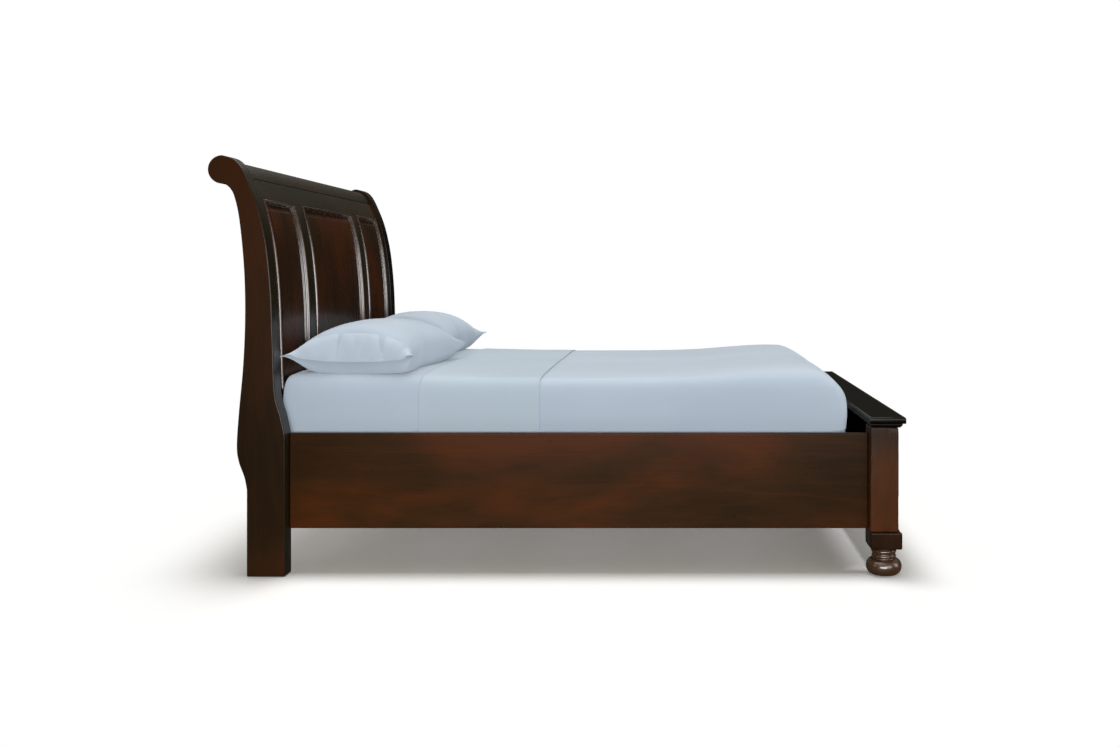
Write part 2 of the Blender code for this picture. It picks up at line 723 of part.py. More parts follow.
def pillow_mesh():
    """A crowned cushion: a coarse cage pinched along its rim, then subdivided."""
    cage = bmesh.new()
    bmesh.ops.create_cube(cage, size=2.0)
    bmesh.ops.subdivide_edges(cage, edges=cage.edges, cuts=1, use_grid_fill=True)
    for vertex in cage.verts:
        rim = max(abs(vertex.co.x), abs(vertex.co.y))
        corner = abs(vertex.co.x) * abs(vertex.co.y)
        vertex.co.z *= 1.0 - PILLOW_RIM_PINCH * rim - PILLOW_CORNER_PINCH * corner
    mesh = bpy.data.meshes.new("pillow")
    cage.to_mesh(mesh)
    cage.free()
    soft = bpy.data.objects.new("pillow", mesh)
    smooth = soft.modifiers.new("soft", "SUBSURF")
    smooth.levels = 2
    smooth.render_levels = 2
    pillow = baked(soft)
    size = Vector((PILLOW_WIDTH, PILLOW_LENGTH, PILLOW_HEIGHT))
    reach = Vector([max(abs(v.co[axis]) for v in pillow.data.vertices) * 2 for axis in range(3)])
    for vertex in pillow.data.vertices:
        vertex.co = Vector([vertex.co[axis] * size[axis] / reach[axis] for axis in range(3)])
    mesh = pillow.data
    bpy.data.objects.remove(pillow)
    shade(mesh, 60)
    return mesh


def pillows(resting_z):
    mesh = pillow_mesh()
    for side, sign in SIDES:
        pillow = bpy.data.objects.new("pillow_" + side, mesh.copy())
        pillow.location = (
            PILLOW_HEAD_X + PILLOW_WIDTH / 2, sign * PILLOW_Y, resting_z + PILLOW_HEIGHT / 2
        )
        keep(pillow, BLUE_COTTON, MATTRESS_LIFT)


head_posts()
crest_roll()
headboard_frame()
headboard_panels()
headboard_mouldings()
foot_corners()
footboard_frame()
footboard_panels()
foot_cap()
side_rails()
slats()
brackets()
bedding()
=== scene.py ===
"""Looks of the sleigh bed: satin dark cherry joinery, pale blue sateen bedding and two pillows.

Every length is in metres in the CAD frame: +X runs to the footboard, +Y to the sleeper's left and
+Z up. Pieces that replace a CAD node take their place from that node's box.
"""

import json
import math
from itertools import product

import bmesh
import bpy
import numpy as np
from mathutils import Matrix, Vector, noise

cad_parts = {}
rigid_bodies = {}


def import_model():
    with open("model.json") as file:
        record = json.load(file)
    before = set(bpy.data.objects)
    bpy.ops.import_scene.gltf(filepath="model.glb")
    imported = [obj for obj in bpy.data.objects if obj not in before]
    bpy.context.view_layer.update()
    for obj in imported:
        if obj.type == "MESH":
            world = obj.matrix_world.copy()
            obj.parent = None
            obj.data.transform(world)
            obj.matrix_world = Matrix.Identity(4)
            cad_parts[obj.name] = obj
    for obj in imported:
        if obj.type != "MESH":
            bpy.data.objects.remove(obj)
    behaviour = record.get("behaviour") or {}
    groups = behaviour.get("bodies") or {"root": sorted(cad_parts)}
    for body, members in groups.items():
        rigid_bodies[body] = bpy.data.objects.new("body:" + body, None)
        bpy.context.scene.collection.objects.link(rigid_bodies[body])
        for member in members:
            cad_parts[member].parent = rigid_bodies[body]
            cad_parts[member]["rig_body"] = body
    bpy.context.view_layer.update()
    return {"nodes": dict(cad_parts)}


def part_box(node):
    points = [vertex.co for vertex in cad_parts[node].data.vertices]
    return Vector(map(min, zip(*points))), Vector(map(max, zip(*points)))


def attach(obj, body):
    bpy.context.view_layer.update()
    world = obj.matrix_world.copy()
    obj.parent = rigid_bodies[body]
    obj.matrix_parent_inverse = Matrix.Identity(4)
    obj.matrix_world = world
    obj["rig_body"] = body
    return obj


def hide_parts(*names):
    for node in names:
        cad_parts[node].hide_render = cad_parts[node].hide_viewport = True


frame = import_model()
SCENE = bpy.context.scene


# ---------------- camera and studio

CAMERA_PLACE = (0.4127, -4.68, 1.096)
CAMERA_LENS = 34.47
CAMERA_SHIFT = (-0.100, -0.0924)

WALL_LIGHT, CEILING_LIGHT = 0.025, 0.38
WALL_COLOUR = (1.0, 0.97, 0.84, 1)
CEILING_RISE = (0.14, 0.75)
FLOOR_FADE = (1.30, 2.0)
FLOOR_GLOW = 0.11
FLOOR_MIRRORED = 0.12

# Name, place, the point it faces, width and height, power in watts.
SOFT_BOXES = (
    ("overhead", (-0.3, 0.45, 4.2), (0, 0.2, 0.4), (5.4, 4.4), 162),
    ("front_high", (-0.4, -4.0, 4.5), (0, 0, 0.5), (5.0, 1.8), 30),
    ("front_low", (0.1, -5.4, 0.9), (0, 0, 0.6), (3.6, 1.4), 188),
    ("front_right", (2.9, -4.9, 1.4), (-1.0, -0.4, 1.0), (3.0, 2.2), 74),
    ("foot_side", (4.8, -1.2, 1.5), (-1.0, 0.2, 1.0), (1.6, 2.4), 30),
    ("head_side", (-4.6, -2.8, 2.4), (-1.0, 0, 0.9), (1.6, 2.0), 16),
    ("back_high", (0.4, 4.0, 5.8), (0, 0, 0.5), (4.0, 2.0), 40),
)
# The floor is lit from straight above by a box of its own, which nothing else sees.
FLOOR_BOX = ("floor_wash", (-0.5, 0.6, 12.0), (0, 0, 0), (3.2, 4.4), 1120)


def placed(name, data, location=(0, 0, 0)):
    """A new object, linked into the scene."""
    thing = bpy.data.objects.new(name, data)
    thing.location = location
    SCENE.collection.objects.link(thing)
    return thing


def add_camera():
    data = bpy.data.cameras.new("camera")
    data.sensor_width = 36
    data.lens = CAMERA_LENS
    data.shift_x, data.shift_y = CAMERA_SHIFT
    SCENE.camera = placed("camera", data, CAMERA_PLACE)
    SCENE.camera.rotation_euler = (math.radians(90), 0, 0)


def add_softbox(floor, floor_state, name, place, aim, size, power):
    """A light that reaches the floor alone (INCLUDE), or everything but the floor (EXCLUDE)."""
    data = bpy.data.lights.new(name, "AREA")
    data.shape = "RECTANGLE"
    data.size, data.size_y = size
    data.energy = power
    light = placed(name, data, place)
    light.rotation_euler = (Vector(aim) - Vector(place)).to_track_quat("-Z", "Y").to_euler()
    receivers = bpy.data.collections.new(name + "_receivers")
    receivers.objects.link(floor)
    receivers.collection_objects[0].light_linking.link_state = floor_state
    light.light_linking.receiver_collection = receivers


def white_surround():
    """White to the camera, and to every other ray a dim, warm room with a bright ceiling."""
    graph = Graph("white_surround", "worlds", "Background")
    height = graph.add("SeparateXYZ", Vector=graph.add("TexCoord").outputs["Generated"]).outputs["Z"]
    seen = graph.add("LightPath").outputs["Is Camera Ray"]
    room = graph.fit(height, *CEILING_RISE, WALL_LIGHT, CEILING_LIGHT)
    graph.set(
        Strength=graph.add("Mix", i0=seen, i2=room, i3=1.0).outputs[0],
        Color=graph.mix(seen, WALL_COLOUR, (1, 1, 1)),
    )
    return graph.owner


def add_studio():
    """A white room: a pale floor that fades into a white surround, and soft boxes around the bed."""
    SCENE.world = white_surround()
    SCENE.view_settings.view_transform = "Standard"
    bpy.ops.mesh.primitive_plane_add(size=16, location=(0, 0, -0.001))
    floor = bpy.context.object
    floor.name = "studio_floor"
    floor.data.materials.append(floor_material())
    for soft_box in SOFT_BOXES:
        add_softbox(floor, "EXCLUDE", *soft_box)
    add_softbox(floor, "INCLUDE", *FLOOR_BOX)


def floor_material():
    """Matt white paper that is clear beyond a few metres, so that it has no horizon."""
    graph = Graph("studio_floor")
    far = graph.add("VectorMath", {"operation": "LENGTH"}, i0=graph.here()).outputs["Value"]
    fade = graph.add(
        "MapRange", {"interpolation_type": "SMOOTHSTEP"}, Value=far, From_Min=FLOOR_FADE[0],
        From_Max=FLOOR_FADE[1], To_Min=1.0, To_Max=0.0,
    )
    mirrored = graph.fit(
        graph.add("LightPath").outputs["Is Glossy Ray"], 0.0, 1.0, 1.0, FLOOR_MIRRORED
    )
    graph.set(
        Base_Color=(0.95, 0.95, 0.95), Roughness=1.0, Specular_IOR_Level=0.0,
        Emission_Color=(1, 1, 1), Emission_Strength=FLOOR_GLOW,
        Alpha=graph.times(fade.outputs["Result"], mirrored),
    )
    return graph.owner


# ---------------- node materials


class Graph:
    """A short way to write nodes: add() makes a node and fills or links its inputs.

    An input is named by its label with _ for a space, or by its number after an i.
    """

    def __init__(self, name, kind="materials", shader="Principled BSDF"):
        self.owner = getattr(bpy.data, kind).new(name)
        self.owner.use_nodes = True
        self.tree = self.owner.node_tree
        self.shader = self.tree.nodes[shader]

    def add(self, kind, settings=None, **inputs):
        node = self.tree.nodes.new("ShaderNode" + kind)
        for name, value in (settings or {}).items():
            setattr(node, name, value)
        self.feed(node, inputs)
        return node

    def set(self, **inputs):
        self.feed(self.shader, inputs)

    def feed(self, node, inputs):
        for name, value in inputs.items():
            numbered = name[0] == "i" and name[1:].isdigit()
            socket = node.inputs[int(name[1:]) if numbered else name.replace("_", " ")]
            if isinstance(value, bpy.types.NodeSocket):
                self.tree.links.new(value, socket)
            else:
                colour = socket.type == "RGBA" and len(value) == 3
                socket.default_value = (*value, 1) if colour else value

    def here(self):
        return self.add("TexCoord").outputs["Object"]

    def noise(self, vector, scale, detail=4, roughness=0.55, distortion=0.0):
        node = self.add(
            "TexNoise", Vector=vector, Scale=scale, Detail=detail, Roughness=roughness,
            Distortion=distortion,
        )
        return node.outputs["Fac"]

    def ramp(self, value, *stops):
        node = self.add("ValToRGB", Fac=value)
        elements = node.color_ramp.elements
        while len(elements) < len(stops):
            elements.new(0.5)
        for element, (position, colour) in zip(elements, stops):
            element.position = position
            element.color = (*colour, 1)
        return node.outputs["Color"]

    def fit(self, value, low, high, to_low=0.0, to_high=1.0):
        """The value with the range low to high mapped onto to_low to to_high, and no further."""
        node = self.add(
            "MapRange", Value=value, From_Min=low, From_Max=high, To_Min=to_low, To_Max=to_high
        )
        return node.outputs["Result"]

    def math(self, operation, first, second=0.0):
        return self.add("Math", {"operation": operation}, i0=first, i1=second).outputs["Value"]

    def times(self, first, second):
        return self.math("MULTIPLY", first, second)

    def mix(self, amount, first, second, blend="MIX"):
        settings = {"data_type": "RGBA", "blend_type": blend}
        return self.add("Mix", settings, i0=amount, i6=first, i7=second).outputs[2]

    def bump(self, height, strength, distance, **more):
        node = self.add("Bump", Height=height, Strength=strength, Distance=distance, **more)
        return node.outputs["Normal"]


def stretched(graph, axis, along, across, shift=0.0):
    """Object coordinates scaled so that a texture runs long along one axis."""
    scale = [along if name == axis else across for name in "xyz"]
    place = (shift, shift * 1.7, shift * 0.6)
    return graph.add("Mapping", Vector=graph.here(), Scale=scale, Location=place).outputs["Vector"]


EDGE_RUB = 0.006
WEAVE_SCALE = 2 * math.pi / 0.0011 / 20

# Painted shade under the cap: the foot posts grow darker towards it; it starts and is full at these
# heights.
CAP_SHADE_HEIGHTS = (0.39, 0.50)

# Each tone of the finish: how light it is, how red, its gloss, relief, edge marks, grain and
# roughness. The near-black "inner" tone is painted shade; "frame" and "cap" also serve as painted
# reflection and shade on the headboard posts' front faces and the far stile.
TONES = {
    "body": (0.64, 1.16, 0.06, 0.04, 1.0, 1.0, 0.25),
    "post": (0.42, 1.04, 0.13, 0.05, 1.0, 1.0, 0.25),
    "frame": (0.50, 0.76, 0.24, 0.01, 1.0, 0.35, 0.25),
    "crest": (0.30, 0.74, 0.20, 0.01, 1.0, 0.35, 0.25),
    "panel": (0.53, 1.20, 0.10, 0.01, 0.0, 0.55, 0.25),
    "moulding": (0.70, 1.02, 0.70, 0.12, 0.0, 1.0, 0.20),
    "cap": (0.06, 0.72, 0.10, 0.0, 0.0, 0.3, 0.13),
    "inner": (0.05, 0.72, 0.0, 0.0, 0.0, 0.3, 0.50),
    "foot_post": (0.74, 1.12, 0.12, 0.05, 1.0, 1.0, 0.25),
    "plinth": (0.28, 1.00, 0.12, 0.04, 0.8, 1.0, 0.25),
    "foot": (1.00, 1.22, 0.80, 0.05, 0.0, 1.0, 0.25),
}


def wood(name, axis, shift, tone):
    """Dark cherry under a satin finish: red-brown patches, fine streaks, pores and burnished edges, and
    painted shade under the cap on the foot posts.
    """
    graph = Graph(name)
    lightness, redness, gloss, relief, edge_marks, grain, rough = TONES[tone]

    def shade(red, green, blue):
        return (red * lightness * redness, green * lightness, 0.60 * blue * lightness)

    def figure_of(along, across, scale, detail, roughness=0.55, distortion=0.0):
        place = stretched(graph, axis, along, across, shift)
        return graph.noise(place, scale, detail, roughness, distortion)

    patches = figure_of(0.8, 2.2, 1.5, 4, 0.55, 0.2)
    colour = graph.ramp(
        patches, (0.34, shade(0.0215, 0.0120, 0.0066)), (0.47, shade(0.0345, 0.0158, 0.0076)),
        (0.60, shade(0.0680, 0.0215, 0.0084)),
    )
    streaks = figure_of(1.6, 46, 1.0, 6, 0.62, 0.6)
    amount = graph.fit(streaks, 0.40, 0.72, 0.0, 0.28 * grain)
    colour = graph.mix(amount, colour, shade(0.0230, 0.0118, 0.0064))
    amount = graph.fit(figure_of(2.2, 15, 1.0, 3, 0.5, 2.0), 0.46, 0.70, 0.0, 0.20 * grain)
    colour = graph.mix(amount, colour, shade(0.0700, 0.0270, 0.0108))
    pores = graph.fit(figure_of(14, 520, 1.0, 2, 0.5), 0.60, 0.70)
    colour = graph.mix(graph.times(pores, 0.25), colour, (0.005, 0.003, 0.002))

    worn = 0.0
    if edge_marks:
        eased = graph.add("Bevel", {"samples": 6}, Radius=EDGE_RUB).outputs["Normal"]
        sharp = graph.add("NewGeometry").outputs["Normal"]
        facing = graph.add("VectorMath", {"operation": "DOT_PRODUCT"}, i0=eased, i1=sharp)
        edge = graph.fit(facing.outputs["Value"], 0.995, 0.88, 0.0, edge_marks)
        rub = figure_of(5, 9, 2.0, 4, 0.6)
        burnished = graph.times(edge, graph.fit(rub, 0.36, 0.60, 0.25, 0.9))
        colour = graph.mix(burnished, colour, shade(0.0095, 0.0058, 0.0042))
        worn = graph.times(edge, graph.fit(rub, 0.62, 0.70, 0.0, 0.6))
        colour = graph.mix(worn, colour, shade(0.150, 0.066, 0.030))

    cells = graph.add("TexVoronoi", Vector=stretched(graph, axis, 9, 17, shift), Scale=1.0)
    chance = graph.add("SeparateColor", Color=cells.outputs["Color"]).outputs["Red"]
    spot = graph.fit(cells.outputs["Distance"], 0.075, 0.035)
    fleck = graph.times(spot, graph.fit(chance, 0.70, 0.74))
    colour = graph.mix(graph.times(fleck, 0.8), colour, (0.006, 0.004, 0.003))

    # Painted shade: the foot posts darken upwards, under the cap.
    if tone == "foot_post":
        height = graph.add("SeparateXYZ", Vector=graph.here()).outputs["Z"]
        cap_shade = graph.fit(height, *CAP_SHADE_HEIGHTS, 0.0, 0.62)
        colour = graph.mix(cap_shade, colour, (0.006, 0.0045, 0.0035))

    roughness = graph.fit(streaks, 0.3, 0.7, rough, rough + 0.06)
    hollows = graph.math("ADD", graph.times(pores, 0.6), graph.times(fleck, 1.6))
    surface = graph.math("SUBTRACT", graph.times(streaks, 0.5), hollows)
    graph.set(
        Base_Color=colour, Roughness=graph.math("ADD", roughness, graph.times(worn, 0.15)),
        Normal=graph.bump(surface, relief, 0.0006), Coat_Weight=gloss * 0.6, Coat_Roughness=0.12,
        Specular_IOR_Level=gloss,
    )
    return graph.owner


def pine(name, axis, shift):
    """Bare softwood: pale, with early and late wood bands and a few darker streaks."""
    graph = Graph(name)
    bands = graph.noise(stretched(graph, axis, 1.2, 30, shift), 1.0, 4, 0.55, 1.2)
    fibres = graph.noise(stretched(graph, axis, 9, 420, shift), 1.0, 2)
    base = graph.ramp(
        bands, (0.34, (0.60, 0.42, 0.25)), (0.52, (0.52, 0.33, 0.17)), (0.66, (0.38, 0.20, 0.09))
    )
    graph.set(
        Base_Color=graph.mix(graph.fit(fibres, 0.5, 0.75, 0.0, 0.4), base, (0.33, 0.19, 0.10)),
        Roughness=graph.fit(bands, 0.3, 0.7, 0.62, 0.78), Normal=graph.bump(fibres, 0.25, 0.0004),
    )
    return graph.owner


def steel(name):
    """Bright zinc plate: fine spangle, faint scuffs and duller patches."""
    graph = Graph(name)
    spangle = graph.add("TexVoronoi", Vector=graph.here(), Scale=260).outputs["Color"]
    scuffs = graph.noise(stretched(graph, "x", 60, 900), 1.0, 3)
    scuffed = graph.fit(scuffs, 0.5, 0.8, 0.0, 0.5)
    colour = graph.mix(scuffed, (0.52, 0.53, 0.56), (0.34, 0.34, 0.33))
    graph.set(
        Base_Color=graph.mix(0.12, colour, spangle, "OVERLAY"), Metallic=0.95,
        Roughness=graph.fit(scuffs, 0.3, 0.7, 0.28, 0.45), Normal=graph.bump(scuffs, 0.12, 0.0002),
    )
    return graph.owner


def sateen(name, colour, shade, crease, shift=0.0, sheen=0.12):
    """Brushed cotton sateen: a fine weave, soft pressed creases and a slow change of tone."""
    graph = Graph(name)
    coords = graph.here()
    warp, weft, rise = (
        graph.add(
            "TexWave", {"bands_direction": axis}, Vector=coords, Scale=WEAVE_SCALE, Distortion=0.6
        ).outputs["Fac"]
        for axis in "XYZ"
    )
    facing = graph.add("SeparateXYZ", Vector=graph.add("NewGeometry").outputs["Normal"])
    weave = 0.0
    for axis, first, second in (("Z", warp, weft), ("Y", warp, rise), ("X", weft, rise)):
        share = graph.math("POWER", graph.math("ABSOLUTE", facing.outputs[axis]), 2.0)
        weave = graph.math("ADD", weave, graph.times(graph.times(first, second), share))
    tone = graph.noise(stretched(graph, "x", 1.0, 1.6, shift), 1.6, 3, 0.5)
    slubs = graph.noise(stretched(graph, "y", 8, 260, shift), 1.0, 2)
    creases = graph.noise(stretched(graph, "x", 3.0, 5.2, shift), 1.5, 5, 0.62, 0.9)
    base = graph.mix(graph.fit(tone, 0.35, 0.65), colour, shade)
    threads = graph.mix(graph.fit(weave, 0.0, 1.0, 0.10, 0.0), base, [c * 0.7 for c in shade])
    slubbed = graph.mix(graph.fit(slubs, 0.62, 0.80, 0.0, 0.14), threads, [c * 1.12 for c in colour])
    graph.set(
        Base_Color=slubbed, Roughness=graph.fit(creases, 0.3, 0.7, 0.66, 0.80),
        Normal=graph.bump(weave, 0.10, 0.0003, Normal=graph.bump(creases, crease, 0.006)),
        Sheen_Weight=sheen, Sheen_Roughness=0.45, Specular_IOR_Level=0.22, Diffuse_Roughness=1.0,
    )
    return graph.owner


def ticking(name, colour, shade):
    """Mattress ticking: a damask of soft lozenges woven in white on white."""
    graph = Graph(name)
    coords = graph.here()
    bands = graph.add(
        "TexWave", {"bands_direction": "DIAGONAL"}, Vector=coords, Scale=7.0, Distortion=0.5
    )
    cells = graph.add("TexVoronoi", {"feature": "SMOOTH_F1"}, Vector=coords, Scale=34)
    figure = graph.times(bands.outputs["Fac"], cells.outputs["Distance"])
    threads = graph.noise(stretched(graph, "x", 300, 900), 1.0, 2)
    figured = graph.mix(graph.fit(figure, 0.05, 0.4), colour, shade)
    shadow = graph.fit(threads, 0.4, 0.8, 0.0, 0.2)
    graph.set(
        Base_Color=graph.mix(shadow, figured, [c * 0.8 for c in shade]),
        Roughness=graph.fit(figure, 0.0, 0.4, 0.7, 0.9), Sheen_Weight=0.2,
        Normal=graph.bump(graph.math("ADD", figure, graph.times(threads, 0.3)), 0.3, 0.001),
    )
    return graph.owner


WOOD_CACHE = {}


def wood_for(axis, shift, tone="body"):
    key = (axis, shift, tone)
    if key not in WOOD_CACHE:
        WOOD_CACHE[key] = wood(f"cherry_{tone}_{len(WOOD_CACHE)}", axis, shift, tone)
    return WOOD_CACHE[key]


# ---------------- mesh helpers


def riding(name, data, material, body):
    """A new piece that rides on a body, with the given finish."""
    data.materials.append(material)
    piece = placed(name, data)
    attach(piece, body)
    return piece


def finished(node, mesh, material):
    """The finished piece that stands for a CAD node and rides on its body."""
    piece = riding(node + "_finished", mesh, material, frame["nodes"][node]["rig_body"])
    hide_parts(node)
    return piece


def to_mesh(name, shape):
    mesh = bpy.data.meshes.new(name)
    bmesh.ops.recalc_face_normals(shape, faces=shape.faces)
    shape.to_mesh(mesh)
    shape.free()
    return mesh


def soften(piece, width, segments=3, angle=35):
    """Rounds the piece's arrises and keeps its flats looking flat."""
    piece.data.shade_smooth()
    bevel = piece.modifiers.new("soft_edges", "BEVEL")
    bevel.width = width
    bevel.segments = segments
    bevel.limit_method = "ANGLE"
    bevel.angle_limit = math.radians(angle)
    bevel.harden_normals = True
    return piece


def smooth_by_angle(mesh, angle=30):
    mesh.shade_smooth()
    mesh.set_sharp_from_angle(angle=math.radians(angle))


# ---------------- the headboard's S

FRONT_EDGE = (
    (-0.970, 0.470), (-0.9715, 0.512), (-0.986, 0.577), (-1.005, 0.652), (-1.012, 0.810),
    (-1.019, 1.003), (-1.033, 1.157), (-1.050, 1.256), (-1.071, 1.336), (-1.098, 1.405),
    (-1.126, 1.463), (-1.155, 1.494), (-1.1955, 1.507),
)
BACK_EDGE = (
    (-1.107, 0.310), (-1.116, 0.355), (-1.136, 0.411), (-1.143, 0.468), (-1.136, 0.582),
    (-1.1205, 0.754), (-1.1135, 0.925), (-1.117, 1.096), (-1.133, 1.268), (-1.1505, 1.354),
    (-1.167, 1.388), (-1.186, 1.4035),
)
SCROLL_CENTRE = (-1.1955, 1.4560)
SCROLL_RADIUS = 0.0510
SPAN_POINTS = 10

FRAME_FACE_DEPTH = 0.012
FRAME_THICKNESS = 0.030
CREST_INSET = 0.013
GROOVE_HALF = 0.0015
PANEL_BORDER_DEPTH = 0.026
PANEL_FIELD_DEPTH = 0.015
PANEL_THICKNESS = 0.009
GAP = 0.0003


def between(a, b, c, d, t):
    """The Catmull-Rom curve's value at t of the way from b to c, with a before and d after."""
    return 0.5 * (
        2 * b + (c - a) * t + (2 * a - 5 * b + 4 * c - d) * t * t + (3 * b - a - 3 * c + d) * t ** 3
    )


def smooth_path(points, per_span=SPAN_POINTS):
    """Points on the Catmull-Rom curve through the given ones."""
    ends = [points[0], *points, points[-1]]
    path = []
    for before, start, stop, after in zip(ends, ends[1:], ends[2:], ends[3:]):
        for step in range(per_span):
            t = step / per_span
            path.append(tuple(between(*four, t) for four in zip(before, start, stop, after)))
    return path + [points[-1]]


def arc(centre, radius, start_degrees, stop_degrees, count):
    angles = [
        math.radians(start_degrees + (stop_degrees - start_degrees) * step / (count - 1))
        for step in range(count)
    ]
    return [(centre[0] + radius * math.cos(a), centre[1] + radius * math.sin(a)) for a in angles]


FRONT_PATH = [(FRONT_EDGE[0][0], 0.0)] + smooth_path(FRONT_EDGE)
BACK_PATH = [(BACK_EDGE[0][0], 0.0)] + smooth_path(BACK_EDGE)


def inside_front(z, depth):
    """The point that lies `depth` behind the posts' front edge, square to it, at height z of it."""
    for (x_low, z_low), (x_high, z_high) in zip(FRONT_PATH, FRONT_PATH[1:]):
        if z_low <= z <= z_high:
            break
    part = (z - z_low) / (z_high - z_low)
    run = Vector((x_high - x_low, z_high - z_low)).normalized()
    return (x_low + (x_high - x_low) * part - run.y * depth, z + run.x * depth)


def heights(z_low, z_high):
    between = [z for _, z in FRONT_PATH if z_low + 0.003 < z < z_high - 0.003]
    return [z_low, *between, z_high]


def slab(name, outline, y_low, y_high):
    """An X-Z outline given thickness along Y."""
    shape = bmesh.new()
    near = [shape.verts.new((x, y_low, z)) for x, z in outline]
    face = shape.faces.new(near)
    pushed = bmesh.ops.extrude_face_region(shape, geom=[face])
    moved = [item for item in pushed["geom"] if isinstance(item, bmesh.types.BMVert)]
    bmesh.ops.translate(shape, verts=moved, vec=(0, y_high - y_low, 0))
    return to_mesh(name, shape)


def headboard_posts():
    scroll = arc(SCROLL_CENTRE, SCROLL_RADIUS, 96, 262, 40)
    outline = FRONT_PATH + scroll + BACK_PATH[::-1]
    for side, shift, painted_face_tone in (("right", 0.0, "frame"), ("left", 3.1, "cap")):
        node = "head_post_" + side
        low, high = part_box(node)
        post = finished(node, slab(node, outline, low.y, high.y), wood_for("z", shift, "post"))
        # The faces square to each post's sides take a second tone: painted reflection on the near post,
        # painted shade on the far one.
        post.data.materials.append(wood_for("z", shift + 0.4, painted_face_tone))
        for polygon in post.data.polygons:
            polygon.material_index = int(abs(polygon.normal.y) < 0.5)
        soften(post, 0.0045)


def curved_board(node, z_low, z_high, material, ease=0.0018):
    low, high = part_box(node)
    levels = heights(z_low, z_high)
    front = [inside_front(z, FRAME_FACE_DEPTH) for z in levels]
    back = [inside_front(z, FRAME_FACE_DEPTH + FRAME_THICKNESS) for z in reversed(levels)]
    soften(finished(node, slab(node, front + back, low.y, high.y), material), ease, 2)


OPENING_LOW, OPENING_HIGH = 0.660, 1.362
GROOVE_Z = 1.436


def headboard_frame():
    low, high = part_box("crest_roll")
    levels = heights(GROOVE_Z + GROOVE_HALF, FRONT_EDGE[-1][1] - 0.0005)
    front = [inside_front(z, CREST_INSET) for z in levels]
    roll = arc(SCROLL_CENTRE, SCROLL_RADIUS - CREST_INSET, 92, 300, 40)
    under = [inside_front(GROOVE_Z + GROOVE_HALF, FRAME_FACE_DEPTH + FRAME_THICKNESS)]
    mesh = slab("crest_roll", front + roll + under, low.y, high.y)
    soften(finished("crest_roll", mesh, wood_for("y", 0.9, "crest")), 0.003)

    curved_board("headboard_top_rail", OPENING_HIGH, GROOVE_Z - GROOVE_HALF, wood_for("y", 4.2, "frame"))
    for number, side in enumerate(("right", "left")):
        # The far stile takes the near-black cap tone: painted shade.
        stile = wood_for("z", 5.0 + number, ("frame", "cap")[number])
        curved_board("headboard_stile_" + side, OPENING_LOW, OPENING_HIGH, stile)
        mullion = wood_for("z", 7.0 + number, "frame")
        curved_board("headboard_mullion_" + side, OPENING_LOW, OPENING_HIGH, mullion)


def on_headboard(y, z, depth):
    x, height = inside_front(z, depth)
    return (x, y, height)


# ---------------- raised panels

PANEL_BORDER = 0.022
FIELD_STEP = 0.0026


def panel_depth(to_edge, bevel):
    """Depth of a raised panel's face: flat border, hollow bevel, a small step, then the field."""
    if to_edge <= PANEL_BORDER:
        return PANEL_BORDER_DEPTH
    part = (to_edge - PANEL_BORDER) / bevel
    if part >= 1:
        return PANEL_FIELD_DEPTH
    rise = PANEL_BORDER_DEPTH - PANEL_FIELD_DEPTH - FIELD_STEP
    return PANEL_BORDER_DEPTH - rise * (0.6 * part + 0.4 * part ** 2)


def panel_lines(low, high, bevel, field):
    """Grid lines across a panel, close together where its face changes."""
    marks = [0, PANEL_BORDER]
    marks += [PANEL_BORDER + bevel * step / 6 for step in range(1, 6)]
    marks += [PANEL_BORDER + bevel * 0.985, PANEL_BORDER + bevel]
    inner_low, inner_high = low + marks[-1], high - marks[-1]
    middle = [z for z in field if inner_low + 0.004 < z < inner_high - 0.004]
    return [low + m for m in marks] + middle + [high - m for m in reversed(marks)]


def band(shape, first, second):
    """The faces between two closed rings of points."""
    pairs = list(zip(first, second))
    return [
        shape.faces.new((a, c, d, b)) for (a, b), (c, d) in zip(pairs, pairs[1:] + pairs[:1])
    ]


def raised_panel(node, y_lines, z_lines, place, bevel, material):
    shape = bmesh.new()
    rims = []
    for back in (False, True):
        grid = []
        for z in z_lines:
            row = []
            for y in y_lines:
                edge = min(y - y_lines[0], y_lines[-1] - y, z - z_lines[0], z_lines[-1] - z)
                depth = PANEL_BORDER_DEPTH + PANEL_THICKNESS if back else panel_depth(edge, bevel)
                row.append(shape.verts.new(place(y, z, depth)))
            grid.append(row)
        for lower, upper in zip(grid, grid[1:]):
            for a, b, c, d in zip(lower, lower[1:], upper[1:], upper):
                shape.faces.new((a, b, c, d))
        right, left = [row[-1] for row in grid[1:]], [row[0] for row in grid[-2:0:-1]]
        rims.append(grid[0] + right + grid[-1][-2::-1] + left)
    band(shape, *rims)
    mesh = to_mesh(node, shape)
    smooth_by_angle(mesh, 12)
    finished(node, mesh, material)


# The mouldings' section: (inward from the opening's edge, depth below the posts' front edge).
MOULDING_SECTION = (
    (0.0003, 0.0250), (0.0003, 0.0112), (0.0030, 0.0066), (0.0044, 0.0058), (0.0066, 0.0057),
    (0.0082, 0.0064), (0.0106, 0.0106), (0.0107, 0.0124), (0.0122, 0.0128), (0.0136, 0.0152),
    (0.0137, 0.0174), (0.0150, 0.0180), (0.0166, 0.0208), (0.0168, 0.0226), (0.0182, 0.0232),
    (0.0188, 0.0250),
)


